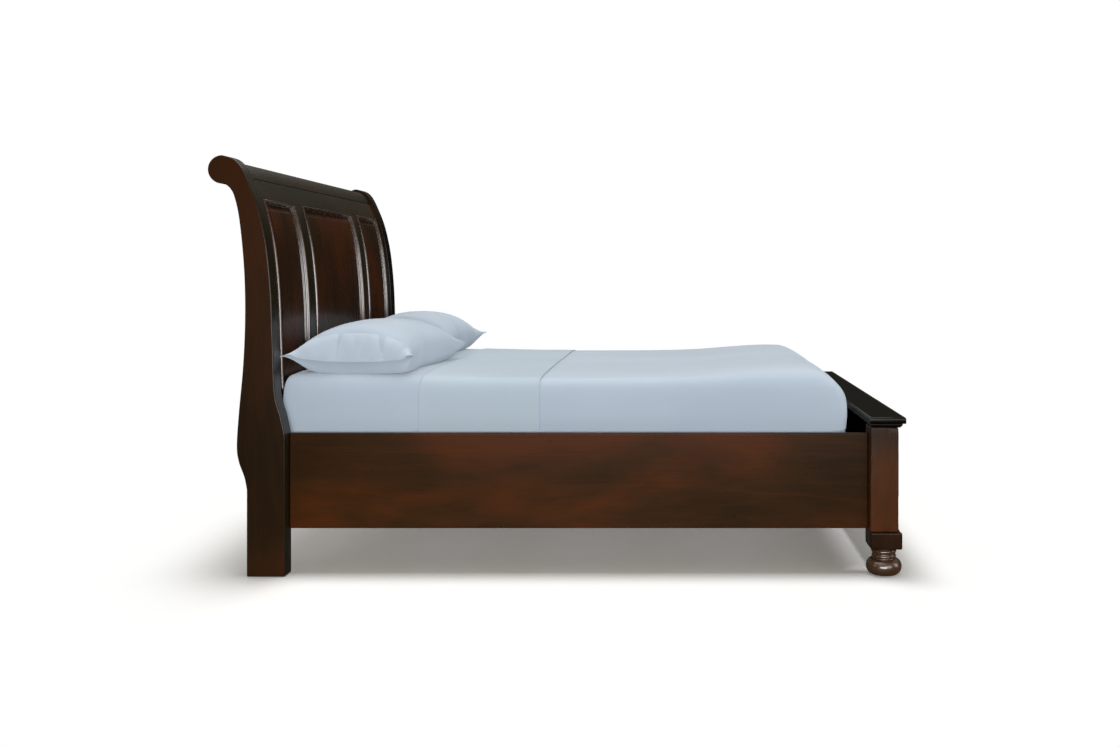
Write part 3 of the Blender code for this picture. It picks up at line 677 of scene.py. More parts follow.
def moulding(node, z_levels, place):
    """A moulding run round an opening, its mitres at the corners."""
    low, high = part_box(node)
    shape = bmesh.new()
    loops = []
    z_low, z_high = z_levels[0], z_levels[-1]
    for inward, depth in MOULDING_SECTION:
        shrink = 1 - 2 * inward / (z_high - z_low)
        zs = [z_low + inward + (z - z_low) * shrink for z in z_levels]
        ring = [(low.y - GAP + inward, z) for z in zs]
        ring += [(high.y + GAP - inward, z) for z in reversed(zs)]
        loops.append([shape.verts.new(place(y, z, depth)) for y, z in ring])
    level_runs = (len(z_levels) - 1, 2 * len(z_levels) - 1)
    for first, second in zip(loops, loops[1:] + loops[:1]):
        for index, face in enumerate(band(shape, first, second)):
            face.material_index = int(index in level_runs)
    mesh = to_mesh(node, shape)
    smooth_by_angle(mesh, 40)
    finished(node, mesh, wood_for("z", 17.0, "moulding"))
    mesh.materials.append(wood_for("y", 24.0, "moulding"))


HEAD_PANEL_BEVEL = 0.020
FOOT_PANEL_BEVEL = 0.018
OPENING_SIDES = ("right", "centre", "left")


def headboard_panels():
    levels = heights(OPENING_LOW + GAP, OPENING_HIGH - GAP)
    for number, side in enumerate(OPENING_SIDES):
        low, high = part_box("headboard_panel_" + side)
        ys = panel_lines(low.y, high.y, HEAD_PANEL_BEVEL, [])
        zs = panel_lines(levels[0], levels[-1], HEAD_PANEL_BEVEL, levels)
        timber = wood_for("z", 11.0 + 2 * number, "panel")
        raised_panel("headboard_panel_" + side, ys, zs, on_headboard, HEAD_PANEL_BEVEL, timber)
        moulding("headboard_moulding_" + side, levels, on_headboard)


def footboard_panels():
    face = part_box("footboard_top_rail")[1].x

    def on_footboard(y, z, depth):
        return (face + FRAME_FACE_DEPTH - depth, y, z)

    for number, side in enumerate(OPENING_SIDES):
        low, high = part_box("footboard_panel_" + side)
        ys = panel_lines(low.y, high.y, FOOT_PANEL_BEVEL, [])
        zs = panel_lines(low.z, high.z, FOOT_PANEL_BEVEL, [])
        timber = wood_for("y", 21.0 + number, "panel")
        raised_panel("footboard_panel_" + side, ys, zs, on_footboard, FOOT_PANEL_BEVEL, timber)
        low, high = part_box("footboard_moulding_" + side)
        moulding("footboard_moulding_" + side, [low.z - GAP, high.z + GAP], on_footboard)


# ---------------- square timber


def lattice(lines):
    """The six faces of a block as one quad mesh over the given lines, and its points by index."""
    shape = bmesh.new()
    points = {}
    last = [len(line) - 1 for line in lines]

    def at(i, j, k):
        if (i, j, k) not in points:
            points[i, j, k] = shape.verts.new((lines[0][i], lines[1][j], lines[2][k]))
        return points[i, j, k]

    for axis in range(3):
        u, v = [other for other in range(3) if other != axis]
        for end, a, b in product((0, last[axis]), range(last[u]), range(last[v])):
            corners = []
            for da, db in ((0, 0), (1, 0), (1, 1), (0, 1)):
                index = [0, 0, 0]
                index[axis], index[u], index[v] = end, a + da, b + db
                corners.append(at(*index))
            shape.faces.new(corners)
    return shape, points


def divided_box(name, low, high, spacing):
    """A box whose faces are divided into squares of about the given spacing."""
    lines = [
        np.linspace(low[a], high[a], max(1, round((high[a] - low[a]) / spacing)) + 1) for a in range(3)
    ]
    return to_mesh(name, lattice(lines)[0])


# A spacing longer than any board, for a box of six faces.
UNDIVIDED = 10.0


def box_timber(node, material, ease, segments=3):
    low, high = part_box(node)
    mesh = divided_box(node, low, high, UNDIVIDED)
    soften(finished(node, mesh, material), ease, segments)


def side_rails():
    for side, shift in (("right", 31.0), ("left", 33.5)):
        box_timber("side_rail_" + side, wood_for("x", shift), 0.005)


def footboard_frame():
    for number, name in enumerate(("bottom_rail", "top_rail")):
        box_timber("footboard_" + name, wood_for("y", 41.0 + number), 0.0018)
    # The inner board is near black: painted shade inside the footboard, under the cap.
    box_timber("footboard_inner_board", wood_for("y", 43.0, "inner"), 0.0018)
    for number, side in enumerate(("right", "left")):
        box_timber("footboard_mullion_" + side, wood_for("z", 45.0 + number), 0.0018)


def worn_timber(node, material, ease, spacing, wear, seed):
    """Square timber whose arrises are rubbed down unevenly, as on an aged finish."""
    low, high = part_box(node)
    piece = finished(node, divided_box(node, low, high, spacing), material)
    soften(piece, ease, 3)
    bpy.context.view_layer.update()
    graph = bpy.context.evaluated_depsgraph_get()
    mesh = bpy.data.meshes.new_from_object(piece.evaluated_get(graph))
    centre, half = (low + high) / 2, (high - low) / 2
    reach = 2.2 * ease
    for vertex in mesh.vertices:
        offset = vertex.co - centre
        from_face = [half[a] - abs(offset[a]) for a in range(3)]
        edge = max(0.0, 1 - sorted(from_face)[1] / reach)
        dent = max(0.0, noise.noise(vertex.co * 23 + Vector((seed, 0, 0))) + 0.12)
        push = wear * edge * dent
        vertex.co -= Vector([
            math.copysign(push, offset[a]) if from_face[a] < reach else 0.0 for a in range(3)
        ])
    piece.modifiers.clear()
    plain = piece.data
    piece.data = mesh
    bpy.data.meshes.remove(plain)


def foot_corners():
    for number, side in enumerate(("right", "left")):
        post = wood_for("z", 51.0 + number, "foot_post")
        worn_timber("foot_post_" + side, post, 0.0035, 0.012, 0.0030, 3.0 + number)
        plinth = wood_for("z", 54.0 + number, "plinth")
        worn_timber("foot_plinth_" + side, plinth, 0.0065, 0.010, 0.0022, 9.0 + number)
        bun_foot("bun_foot_" + side, wood_for("z", 57.0 + number, "foot"))


BUN_RADIUS = 0.0637
BUN_TOP = 0.056


def bun_profile(top):
    """(radius, z) from the neck's top down to the floor: two rings over a flattened ball."""
    profile = [(0.0, top), (0.0398, top), (0.0400, 0.0905)]
    profile += ring_profile(0.0405, 0.0448, 0.0900, 0.0765)
    profile += [(0.0398, 0.0752), (0.0394, 0.0738), (0.0396, 0.0722)]
    profile += ring_profile(0.0402, 0.0438, 0.0712, 0.0606)
    profile += [(0.0392, 0.0596), (0.0388, 0.0583)]
    middle = BUN_TOP / 2
    waist = 0.0405
    for step in range(25):
        angle = math.radians(90 - 180 * step / 24)
        profile.append((
            waist + (BUN_RADIUS - waist) * math.cos(angle), middle + middle * math.sin(angle)
        ))
    profile.append((0.0, 0.0))
    return profile


def ring_profile(inner, outer, top, bottom):
    """A half-round ring between two heights."""
    middle, half = (top + bottom) / 2, (top - bottom) / 2
    angles = [math.radians(90 - 180 * step / 8) for step in range(9)]
    return [
        (inner + (outer - inner) * math.cos(a), middle + half * math.sin(a)) for a in angles
    ]


def bun_foot(node, material):
    low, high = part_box(node)
    points = [(radius, 0, z) for radius, z in bun_profile(high.z)]
    mesh = bpy.data.meshes.new(node)
    mesh.from_pydata(points, [(i, i + 1) for i in range(len(points) - 1)], [])
    piece = finished(node, mesh, material)
    piece.location = ((low.x + high.x) / 2, (low.y + high.y) / 2, 0)
    turn = piece.modifiers.new("turned", "SCREW")
    turn.steps = turn.render_steps = 72
    turn.use_merge_vertices = True
    turn.merge_threshold = 0.00002
    turn.use_smooth_shade = True


# Edge sections: (inset from the node's box, height above its underside).
CAP_SECTION = (
    (0.0, 0.0), (-0.0018, 0.0006), (-0.0030, 0.0022), (-0.0033, 0.0045), (-0.0033, 0.0165),
    (-0.0028, 0.0195), (-0.0012, 0.0220), (0.0012, 0.0230), (0.0040, 0.0230),
)
BEAD_SECTION = (
    (0.0075, 0.0), (0.0068, 0.0016), (0.0046, 0.0042), (0.0022, 0.0066), (0.0016, 0.0078),
    (0.0003, 0.0086), (0.0, 0.0105), (0.0004, 0.0126), (0.0022, 0.0140), (0.0040, 0.0147),
)


def moulded_cap():
    """The bench-like cap: a slab with a rounded nose over a small cove and bead."""
    edge_run("foot_cap", CAP_SECTION, wood_for("y", 61.0, "cap"))
    edge_run("foot_cap_moulding", BEAD_SECTION, wood_for("y", 63.0, "cap"))


def edge_run(node, section, material):
    """A slab whose edge follows a section. The section's outermost point lies on the box."""
    low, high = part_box(node)
    shape = bmesh.new()
    outward = min(inset for inset, _ in section)
    rings = []
    for inset, rise in section:
        step = inset - outward
        corners = (
            (low.x + step, low.y + step), (high.x - step, low.y + step),
            (high.x - step, high.y - step), (low.x + step, high.y - step),
        )
        rings.append([shape.verts.new((x, y, low.z + rise)) for x, y in corners])
    for lower, upper in zip(rings, rings[1:]):
        band(shape, lower, upper)
    shape.faces.new(rings[0][::-1])
    shape.faces.new(rings[-1])
    mesh = to_mesh(node, shape)
    smooth_by_angle(mesh, 50)
    finished(node, mesh, material)


# ---------------- hidden pieces


def hidden_pieces():
    box_timber("headboard_bottom_rail", wood_for("y", 71.0), 0.0018)
    bars = sorted(name for name in frame["nodes"] if name.startswith("slat"))
    for number, name in enumerate(bars):
        axis = "x" if "cleat" in name else "z" if "leg" in name else "y"
        box_timber(name, pine("pine_" + name, axis, 0.7 * number), 0.0025, 2)
    plated = steel("zinc_plate")
    for name, node in frame["nodes"].items():
        if "bracket" in name or "bolt" in name:
            node.data.materials.clear()
            node.data.materials.append(plated)


# ---------------- bedding

FOLD_X = -0.510
HEM_X = -0.072
HEM_STITCH_X = -0.180
LAYER = 0.0020
CUFF_RISE = 2 * LAYER + 0.0003
CLOTH_THICKNESS = 0.0012
BED_SPACING = 0.026
TUCK = 0.16
HEAD_TRIM = 0.050
HEAD_CLEARANCE = 0.0016
FOOT_ROUND = 0.098
MOST_SWELL = 0.006

SATEEN = (0.378, 0.440, 0.508)
SATEEN_SHADE = (0.354, 0.412, 0.484)
REVERSE = (0.380, 0.446, 0.502)
REVERSE_SHADE = (0.356, 0.422, 0.480)
# A lighter copy of the sateen for the pillows' hems: painted light where they face the lamps.
HEM_LIT_SATEEN = (0.430, 0.492, 0.556)


def spaced(marks, spacing):
    """Lines through every mark, evenly spaced between marks."""
    lines = [marks[0]]
    for start, stop in zip(marks, marks[1:]):
        count = max(1, round((stop - start) / spacing))
        lines += [start + (stop - start) * step / count for step in range(1, count + 1)]
    return lines


def rounded(point, low, high, radii):
    """Moves a point of a block onto the block with its corners rounded off, by side and by axis."""
    moved = []
    offsets = []
    for axis in range(3):
        near, far = radii[axis]
        inner = min(max(point[axis], low[axis] + near), high[axis] - far)
        radius = near if point[axis] < inner else far
        moved.append((inner, radius))
        offsets.append((point[axis] - inner) / radius)
    length = math.sqrt(sum(o * o for o in offsets)) or 1.0
    return Vector([inner + radius * offset / length for (inner, radius), offset in zip(moved, offsets)])


class BedForm:
    """The made-up mattress: one quad mesh that every layer of bedding is cut from."""

    def __init__(self):
        low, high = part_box("mattress")
        self.low, self.high = low, high
        radii = ((0.045, FOOT_ROUND), (0.055, 0.055), (0.045, 0.072))
        head = low.x
        low.x -= HEAD_TRIM
        ends = (
            low.x, head - 0.005, head + 0.002, head + 0.009, FOLD_X, HEM_STITCH_X, HEM_X,
            high.x - FOOT_ROUND, high.x,
        )
        across = (low.y, low.y + 0.055, high.y - 0.055, high.y)
        upward = (low.z, low.z + 0.045, high.z - 0.072, high.z)
        lines = [spaced(marks, BED_SPACING) for marks in (ends, across, upward)]
        shape, points = lattice(lines)
        shape.verts.index_update()
        keys = sorted(points, key=lambda key: points[key].index)
        self.faces = [tuple(vertex.index for vertex in face.verts) for face in shape.faces]
        shape.free()
        self.grid = np.array([[lines[a][key[a]] for a in range(3)] for key in keys])
        self.points = np.array([self.shaped(Vector(p), low, high, radii) for p in self.grid])
        self.orient()

    def shaped(self, point, low, high, radii):
        """A block's point on the made bed: rounded, crowned, dipped at the foot and full at the sides."""
        point = rounded(point, low, high, radii)
        foot = max(0.0, (point.x - (high.x - FOOT_ROUND)) / FOOT_ROUND)
        along = (point.x - low.x) / (high.x - low.x)
        side = abs(point.y) / high.y
        rise = (point.z - low.z) / (high.z - low.z)
        crown = 0.006 * (1 - side ** 4)
        crown += 0.010 * math.cos(2 * math.pi * (along - 0.02)) * (1 - side ** 12)
        crown += 0.016 * math.exp(-((along - 0.90) / 0.11) ** 2) * (1 - side ** 14)
        point.z += (crown - 0.004) * max(0.0, rise) ** 3
        point.z -= 0.016 * foot ** 2 * max(0.0, rise) ** 2
        point.x += foot * (0.020 * math.sin(math.pi * min(max(rise, 0), 1)) - 0.008 * (1 - rise) ** 2)
        point.x = max(point.x, low.x + HEAD_TRIM - 0.007)
        bulge = 0.007 * math.sin(math.pi * min(max(rise, 0), 1)) * side ** 8
        point.y += math.copysign(bulge, point.y)
        return point

    def orient(self):
        """Turns every face outwards."""
        centre = self.points.mean(0)
        corners = self.points[np.array(self.faces)]
        normal = np.cross(corners[:, 2] - corners[:, 0], corners[:, 3] - corners[:, 1])
        inward = ((corners.mean(1) - centre) * normal).sum(1) < 0
        self.faces = [face[::-1] if flip else face for face, flip in zip(self.faces, inward)]

    def settle(self):
        """Lets the ticking swell a little under its filling, held along the bottom edge."""
        held = [i for i, p in enumerate(self.grid) if p[2] < self.low.z + 0.02]
        moved = simulate_cloth(
            self.points, self.faces, pressure=2.2, frames=14, held=held, stiffness=18, bending=1.2
        )
        step = moved - self.points
        length = np.linalg.norm(step, axis=1, keepdims=True)
        self.points = self.points + step * np.minimum(1.0, MOST_SWELL / np.maximum(length, 1e-9))

    def ruffle(self):
        """Presses slow, shallow undulations into the cloth, stronger near the foot's corners."""
        normals = outward(self.points, self.faces)
        for index, (point, normal) in enumerate(zip(self.points, normals)):
            x, y, z = Vector(point)
            side = abs(y) / self.high.y
            corner = max(0.0, (x - 0.72) / 0.34) * side ** 3
            slow = noise.noise(Vector((x * 2.1, y * 2.6, z * 3.0)))
            pull = noise.noise(Vector((x * 9.0 + 4, y * 7.0, z * 2.5)))
            sag = noise.noise(Vector((x * 6.5, 0.0, z * 1.2 + 7)))
            lift = 0.0022 * slow + 0.0042 * corner * pull + 0.0016 * side ** 10 * sag
            if z > self.low.z + 0.01:
                self.points[index] += normal * lift
        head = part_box("fitted_sheet")[0].x + HEAD_CLEARANCE
        self.points[:, 0] = np.maximum(self.points[:, 0], head)


def outward(points, faces):
    """Each point's normal: the mean of its faces', by their size."""
    faces = np.array(faces)
    corners = points[faces]
    normal = np.cross(corners[:, 2] - corners[:, 0], corners[:, 3] - corners[:, 1])
    total = np.zeros_like(points)
    for column in range(4):
        np.add.at(total, faces[:, column], normal)
    return total / np.linalg.norm(total, axis=1, keepdims=True).clip(1e-12)


def simulate_cloth(points, faces, pressure, frames, held, stiffness, bending):
    """Runs Blender's cloth on a closed mesh that pushes outwards, and returns its points."""
    mesh = bpy.data.meshes.new("cloth_run")
    mesh.from_pydata(points.tolist(), [], faces)
    obj = placed("cloth_run", mesh)
    cloth = obj.modifiers.new("cloth", "CLOTH")
    settings = cloth.settings
    settings.quality = 6
    settings.mass = 0.25
    settings.tension_stiffness = settings.compression_stiffness = stiffness
    settings.shear_stiffness = stiffness * 0.6
    settings.bending_stiffness = bending
    settings.air_damping = 2.0
    settings.use_pressure = True
    settings.uniform_pressure_force = pressure
    settings.effector_weights.gravity = 0.0
    cloth.collision_settings.use_collision = False
    cloth.point_cache.frame_start = 1
    cloth.point_cache.frame_end = frames
    if held:
        obj.vertex_groups.new(name="held").add(held, 1.0, "REPLACE")
        settings.vertex_group_mass = "held"
    for number in range(1, frames + 1):
        SCENE.frame_set(number)
    graph = bpy.context.evaluated_depsgraph_get()
    result = bpy.data.meshes.new_from_object(obj.evaluated_get(graph))
    moved = np.empty(len(result.vertices) * 3)
    result.vertices.foreach_get("co", moved)
    bpy.data.objects.remove(obj)
    bpy.data.meshes.remove(result)
    SCENE.frame_set(1)
    return moved.reshape(-1, 3)


def soft_piece(name, points, faces, material, body, levels=1):
    """A smooth mesh piece made from some of a form's points and faces."""
    used = sorted({index for face in faces for index in face})
    renumber = {old: new for new, old in enumerate(used)}
    mesh = bpy.data.meshes.new(name)
    mesh.from_pydata(
        [tuple(points[i]) for i in used], [], [[renumber[i] for i in face] for face in faces]
    )
    mesh.shade_smooth()
    piece = riding(name, mesh, material, body)
    if levels:
        smooth = piece.modifiers.new("fine", "SUBSURF")
        smooth.levels = smooth.render_levels = levels
        smooth.boundary_smooth = "PRESERVE_CORNERS"
    return piece


def thicken(piece):
    solid = piece.modifiers.new("cloth_thickness", "SOLIDIFY")
    solid.thickness = CLOTH_THICKNESS
    solid.offset = 1
    return piece


def made_bed():
    form = BedForm()
    form.settle()
    form.ruffle()
    base, low, high = form.points, form.low, form.high
    normals = outward(base, form.faces)

    cover = ticking("mattress_ticking", (0.80, 0.80, 0.78), (0.70, 0.71, 0.71))
    body = soft_piece(
        "mattress_body", base - normals * 0.004, form.faces, cover, "mattress", 0
    )
    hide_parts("mattress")

    centres = {face: form.grid[list(face)].mean(0) for face in form.faces}
    under = low.z + 0.001

    def past_tuck(centre):
        inside = low.x + TUCK < centre[0] < high.x - TUCK and abs(centre[1]) < high.y - TUCK
        return centre[2] < under and inside

    fitted_faces = [face for face in form.faces if not past_tuck(centres[face])]
    fitted = thicken(soft_piece(
        "fitted_sheet_cloth", base, fitted_faces,
        sateen("fitted_sateen", SATEEN, SATEEN_SHADE, 0.22, shift=2.0), "mattress",
    ))
    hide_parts("fitted_sheet")

    flat_faces = [face for face in fitted_faces if centres[face][0] > FOLD_X]
    cuff_faces = [
        face for face in flat_faces if centres[face][0] < HEM_X and centres[face][2] > under
    ]
    flat_sheet(form, normals, flat_faces, cuff_faces)


def flat_sheet(form, normals, flat_faces, cuff_faces):
    """The top sheet: tucked in at the foot and sides, with its head end turned back as a cuff."""
    base = form.points
    count = len(base)
    turned = base + normals * CUFF_RISE
    hem = (form.grid[:, 0] > HEM_STITCH_X - 0.001)
    turned[hem] += normals[hem] * 0.0007
    back = np.array([0.0030, 0, 0])
    layers = [
        base + normals * LAYER, base + normals * (LAYER * 1.25) - back,
        base + normals * (LAYER * 1.80) - back, turned,
    ]
    faces = list(flat_faces)
    faces += [tuple(index + 3 * count for index in face) for face in cuff_faces]
    edges = {}
    for face in cuff_faces:
        for start, stop in zip(face, face[1:] + face[:1]):
            key = (min(start, stop), max(start, stop))
            edges[key] = None if key in edges else (start, stop)
    for start, stop in filter(None, edges.values()):
        if abs(form.grid[start][0] - FOLD_X) < 1e-6 and abs(form.grid[stop][0] - FOLD_X) < 1e-6:
            for lower in (0, count, 2 * count):
                upper = lower + count
                faces.append((start + lower, stop + lower, stop + upper, start + upper))
    sheet = thicken(soft_piece(
        "flat_sheet_cloth", np.concatenate(layers), faces,
        sateen("top_sateen", SATEEN, SATEEN_SHADE, 0.26, shift=5.0), "mattress",
    ))
    reverse = sateen("reverse_sateen", REVERSE, REVERSE_SHADE, 0.26, shift=9.0, sheen=0.02)
    sheet.data.materials.append(reverse)
    for polygon in list(sheet.data.polygons)[len(flat_faces):]:
        polygon.material_index = 1
    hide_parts("flat_sheet")
    hem_stitches(form, normals)


STITCH_PITCH, STITCH_LENGTH, STITCH_RADIUS = 0.0042, 0.0028, 0.00032


def hem_stitches(form, normals):
    """A line of small stitches that holds the hem of the turned-back cuff."""
    column = [
        index for index, (x, _, z) in enumerate(form.grid)
        if abs(x - HEM_STITCH_X) < 1e-6 and z > form.low.z + 0.05
    ]
    column.sort(key=lambda i: math.atan2(form.points[i][2] - 0.3, form.points[i][1]))
    path = [Vector(form.points[i] + normals[i] * (CUFF_RISE + CLOTH_THICKNESS)) for i in column]
    shape = bmesh.new()
    left_over = 0.0
    for start, stop in zip(path, path[1:]):
        length = (stop - start).length
        run = (stop - start).normalized()
        turn = Vector((0, 0, 1)).rotation_difference(run).to_matrix().to_4x4()
        place = left_over
        while place < length:
            bmesh.ops.create_cone(
                shape, cap_ends=True, segments=6, radius1=STITCH_RADIUS, radius2=STITCH_RADIUS,
                depth=STITCH_LENGTH, matrix=Matrix.Translation(start + run * place) @ turn,
            )
            place += STITCH_PITCH
        left_over = place - length
    mesh = to_mesh("hem_stitches", shape)
    mesh.shade_smooth()
    thread = sateen("thread", (0.58, 0.65, 0.74), (0.52, 0.60, 0.70), 0.1)
    return riding("hem_stitches", mesh, thread, "mattress")


FOUNDATION_CORNER = 0.030
FOUNDATION_EDGE = 0.012


def foundation():
    """The box foundation: a firm upholstered block with a welt round its top and bottom edges."""
    low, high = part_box("foundation")
    rounding = (FOUNDATION_CORNER, FOUNDATION_CORNER, FOUNDATION_EDGE)
    lines = [
        spaced((low[a], low[a] + r, high[a] - r, high[a]), 0.05) for a, r in enumerate(rounding)
    ]
    shape, _ = lattice(lines)
    for vertex in shape.verts:
        vertex.co = rounded(vertex.co, low, high, [(r, r) for r in rounding])
    mesh = to_mesh("foundation", shape)
    mesh.shade_smooth()
    cover = ticking("foundation_ticking", (0.72, 0.72, 0.70), (0.60, 0.61, 0.61))
    finished("foundation", mesh, cover)

    near_x, far_x = low.x + FOUNDATION_CORNER, high.x - FOUNDATION_CORNER
    near_y, far_y = low.y + FOUNDATION_CORNER, high.y - FOUNDATION_CORNER
    ring = []
    corners = ((far_x, far_y), (near_x, far_y), (near_x, near_y), (far_x, near_y))
    for number, corner in enumerate(corners):
        ring += arc(corner, FOUNDATION_CORNER - 0.0008, 90 * number, 90 * number + 90, 7)
    for name, height in (("top", high.z - FOUNDATION_EDGE), ("bottom", low.z + FOUNDATION_EDGE)):
        path = [(x, y, height) for x, y in ring]
        piping(f"foundation_{name}_welt", path, 0.0032, 3, cover, "foundation", True)


def piping(name, path, radius, resolution, material, body, closed=False):
    """A round line of cloth along a path: a welt, or a sewn edge."""
    curve = bpy.data.curves.new(name, "CURVE")
    curve.dimensions = "3D"
    curve.bevel_depth = radius
    curve.bevel_resolution = resolution
    spline = curve.splines.new("POLY")
    spline.points.add(len(path) - 1)
    for point, place in zip(spline.points, path):
        point.co = (*place, 1)
    spline.use_cyclic_u = closed
    riding(name, curve, material, body)


# ---------------- pillows

PILLOW_CELLS = (44, 66)
PILLOW_FLAT = (0.535, 0.810)
HEM_ROWS = 8
HEM_FINE = 3
PILLOW_FULLNESS = 0.80
# How far the smoothing reaches in from the sides, in cells, and how often it is repeated.
CREASE_RELAX = (14.0, 22)
EDGE_RELAX = (2.0, 22)
EAR = (0.007, 0.014)


class Bag:
    """Two flat panels of cloth joined round their rim, lying barely open."""

    def __init__(self, seed):
        across, along = PILLOW_CELLS
        self.index = {}
        points = []
        for side in (1, -1):
            for i in range(across + 1):
                for j in range(along + 1):
                    rim = i in (0, across) or j in (0, along)
                    if rim and side < 0:
                        self.index[i, j, -1] = self.index[i, j, 1]
                        continue
                    u, v = 2 * i / across - 1, 2 * j / along - 1
                    lift = 0.022 * (1 - u ** 4) * (1 - v ** 4) * side
                    lift += 0.0012 * noise.noise(Vector((u * 5 + seed, v * 7, side)))
                    self.index[i, j, side] = len(points)
                    points.append((u * PILLOW_FLAT[0] / 2, v * PILLOW_FLAT[1] / 2, lift))
        self.points = np.array(points)
        self.faces = []
        for side in (1, -1):
            for i in range(across):
                for j in range(along):
                    corners = ((i, j), (i + 1, j), (i + 1, j + 1), (i, j + 1))
                    quad = [self.index[(*corner, side)] for corner in corners]
                    self.faces.append(quad if side > 0 else quad[::-1])

    def swell(self):
        self.points = simulate_cloth(
            self.points, self.faces, pressure=9.0, frames=34, held=[], stiffness=14, bending=0.6
        )

    def seat(self, low, high, shear):
        """Fits the bag to its place: underside pressed flat on the bed, foot side full and low."""
        size = high - low
        centre = (low + high) / 2
        fitted = self.points - (self.points.max(0) + self.points.min(0)) / 2
        reach = (self.points.max(0) - self.points.min(0)) / 2
        u, v = fitted[:, 0] / reach[0], fitted[:, 1] / reach[1]
        fitted[:, 0] = u * (size.x / 2 + 0.004)
        fitted[:, 1] = v * (size.y / 2 + 0.004)
        seam_z = low.z + 0.40 * size.z
        upper, lower = high.z - seam_z, seam_z - low.z
        top, bottom = fitted[:, 2].max(), -fitted[:, 2].min()
        rise = np.where(
            fitted[:, 2] > 0, upper * (fitted[:, 2].clip(0) / top) ** PILLOW_FULLNESS,
            -1.5 * lower * ((-fitted[:, 2]).clip(0) / bottom) ** 0.62,
        )
        low_side = (u.clip(0) ** 3) * (1 - v ** 4).clip(0)
        rise -= 0.030 * low_side
        fitted[:, 0] += 0.012 * low_side * (rise > -lower * 0.5)
        floor = -lower
        deep = rise < floor * 0.78
        rise[deep] = floor * (1 - 0.22 * np.exp((0.78 - rise[deep] / floor) * 4.5))
        fitted[:, 2] = rise
        fitted[:, 0] += shear * (v + 1) / 2
        self.points = fitted + np.array([centre.x, centre.y, seam_z])

    def relax(self, open_end, breadth, passes):
        """Rounds the long sides, which are folded and not sewn, and smooths the open end."""
        across, along = PILLOW_CELLS
        weight = np.zeros(len(self.points))
        for (i, j, _), vertex in self.index.items():
            from_side, from_end = min(i, across - i), min(j, along - j)
            from_mouth = abs(j - open_end)
            if from_end > 1:
                weight[vertex] = 0.7 * math.exp(-from_side / breadth) * min(1.0, (from_end - 1) / 5)
            if from_side > 0:
                fade = math.exp(-((from_mouth / 14.0) ** 2)) * min(1.0, from_side / 4)
                weight[vertex] = max(weight[vertex], 0.75 * fade)
        links = {
            (min(a, b), max(a, b)) for face in self.faces for a, b in zip(face, face[1:] + face[:1])
        }
        first, second = np.array(sorted(links)).T
        for _ in range(passes):
            total = np.zeros_like(self.points)
            count = np.zeros(len(self.points))
            for one, other in ((first, second), (second, first)):
                np.add.at(total, one, self.points[other])
                np.add.at(count, one, 1)
            middle = total / count[:, None]
            self.points += (middle - self.points) * weight[:, None]

    def pull_corners(self):
        """Draws the corners out into the small ears of a case that is larger than its pillow."""
        across, along = PILLOW_CELLS
        for (i, j, side), vertex in self.index.items():
            if side < 0:
                u, v = 2 * i / across - 1, 2 * j / along - 1
                pull = (abs(u) * abs(v)) ** 7
                self.points[vertex] += pull * np.array([EAR[0] * np.sign(u), EAR[1] * np.sign(v), 0.0])

def pillow(side, seed, shear):
    node = "pillow_" + side
    low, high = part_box(node)
    bag = Bag(seed)
    bag.swell()
    open_end = 0 if side == "right" else PILLOW_CELLS[1]
    bag.relax(open_end, *CREASE_RELAX)
    bag.seat(low, high, shear)
    bag.relax(open_end, *EDGE_RELAX)
    bag.pull_corners()
    cotton = sateen("pillow_sateen_" + side, SATEEN, SATEEN_SHADE, 0.30, shift=seed)
    case = soft_piece(node + "_case", bag.points, bag.faces, cotton, node)
    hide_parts(node)
    # The hem's lighter sateen is painted light on the same cloth.
    lit_hem_cotton = sateen("hem_lit_sateen_" + side, HEM_LIT_SATEEN, SATEEN, 0.30, shift=seed)
    hem_flap(node, bag, open_end, lit_hem_cotton, seed)
    closed_end = PILLOW_CELLS[1] - open_end
    across, along = PILLOW_CELLS
    sewn = [bag.points[bag.index[i, closed_end, 1]] for i in range(across, 0, -1)]
    back_edge = range(along + 1) if closed_end == 0 else range(along, -1, -1)
    sewn += [bag.points[bag.index[0, j, 1]] for j in back_edge]
    piping(node + "_seam", sewn, 0.0016, 2, cotton, node)


# The hem's soft folds: place across it, height (a groove is negative), half width, slant.
HEM_FOLDS = (
    (-0.66, 0.0060, 0.10, 0.10), (-0.40, 0.0100, 0.09, -0.08), (-0.27, -0.0070, 0.05, -0.05),
    (-0.08, 0.0100, 0.10, 0.06), (0.12, 0.0085, 0.07, 0.10), (0.33, 0.0130, 0.06, 0.12),
    (0.44, -0.0100, 0.045, 0.14), (0.60, 0.0105, 0.08, 0.05), (0.76, -0.0060, 0.05, -0.04),
)


def fold_height(u, down, seed):
    """How far the hem's folds stand out at a place across it, more and more towards its edge."""
    fine = noise.noise(Vector((u * 6 + seed, down * 2.2, 4.0)))
    total = 0.0035 * fine
    for place, height, width, slant in HEM_FOLDS:
        swing = place + slant * (down - 0.5) + 0.02 * noise.noise(Vector((place * 9, down * 3, seed)))
        total += height * math.exp(-((u - swing) / width) ** 2)
    middle = 1 - min(1.0, abs(u) ** 6)
    return middle * total * math.sin(math.pi * min(1.0, 0.12 + 0.62 * down)) ** 1.5


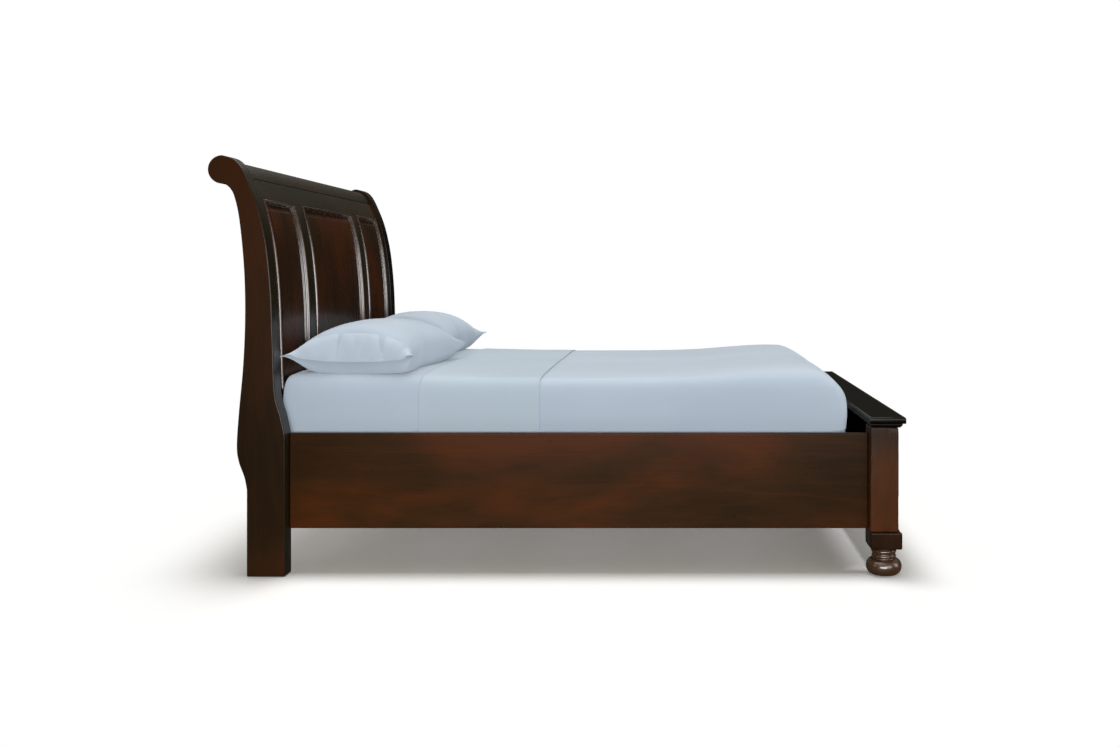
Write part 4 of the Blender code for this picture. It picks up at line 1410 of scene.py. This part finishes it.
def hem_flap(node, bag, open_end, material, seed):
    """The case's deep hem: its upper layer hangs loose over the pillow's end, above a dark mouth."""
    across = PILLOW_CELLS[0]
    inward = 1 if open_end == 0 else -1
    normals = outward(bag.points, bag.faces)
    fine = across * HEM_FINE
    rows = []
    for row in range(HEM_ROWS, -1, -1):
        ids = [bag.index[i, open_end + inward * row, 1] for i in range(across + 1)]
        place = resampled(bag.points[ids], HEM_FINE)
        out = resampled(normals[ids], HEM_FINE)
        if row == 0:
            out = rows[-1][1]
        rows.append((place, out))
    below = rows[-1][0] - rows[-2][0]
    below /= np.linalg.norm(below, axis=1, keepdims=True).clip(1e-9)
    down = below * 0.4 + np.array([0, 0, -0.9])
    for step in (0.35, 0.7, 1.0):
        spread = 1 - np.abs(np.linspace(-1, 1, fine + 1)) ** 2.2
        rows.append((rows[HEM_ROWS][0] + down * (0.018 * step * spread)[:, None], rows[HEM_ROWS][1]))
    points = []
    last = len(rows) - 1
    for number, (place, out) in enumerate(rows):
        part = min(1.0, number / HEM_ROWS)
        for column in range(fine + 1):
            u = 2 * column / fine - 1
            loose = 0.0024 * min(1.0, part * 2) - 0.0014 + 0.0085 * part ** 2 * (1 - abs(u) ** 6)
            mouth = 0.0085 * part ** 3 * math.exp(-((abs(u) - 0.90) / 0.06) ** 2)
            height = loose + mouth + fold_height(u, number / last, seed)
            points.append(place[column] + out[column] * height)
    width = fine + 1
    faces = [
        (r * width + c, r * width + c + 1, (r + 1) * width + c + 1, (r + 1) * width + c)
        for r in range(last) for c in range(fine)
    ]
    if inward > 0:
        faces = [face[::-1] for face in faces]
    thicken(soft_piece(node + "_hem", points, faces, material, node))


def resampled(path, steps):
    """A smooth curve through the points, `steps` times as fine."""
    ends = np.concatenate([2 * path[:1] - path[1:2], path, 2 * path[-1:] - path[-2:-1]])
    result = []
    for a, b, c, d in zip(ends, ends[1:], ends[2:], ends[3:]):
        result += [between(a, b, c, d, step / steps) for step in range(steps)]
    return np.array(result + [path[-1]])


# ---------------- the whole bed

add_camera()
add_studio()

headboard_posts()
headboard_frame()
headboard_panels()
side_rails()
footboard_frame()
footboard_panels()
foot_corners()
moulded_cap()
hidden_pieces()
foundation()
made_bed()
pillow("right", 1.0, 0.045)
pillow("left", 8.0, 0.0)
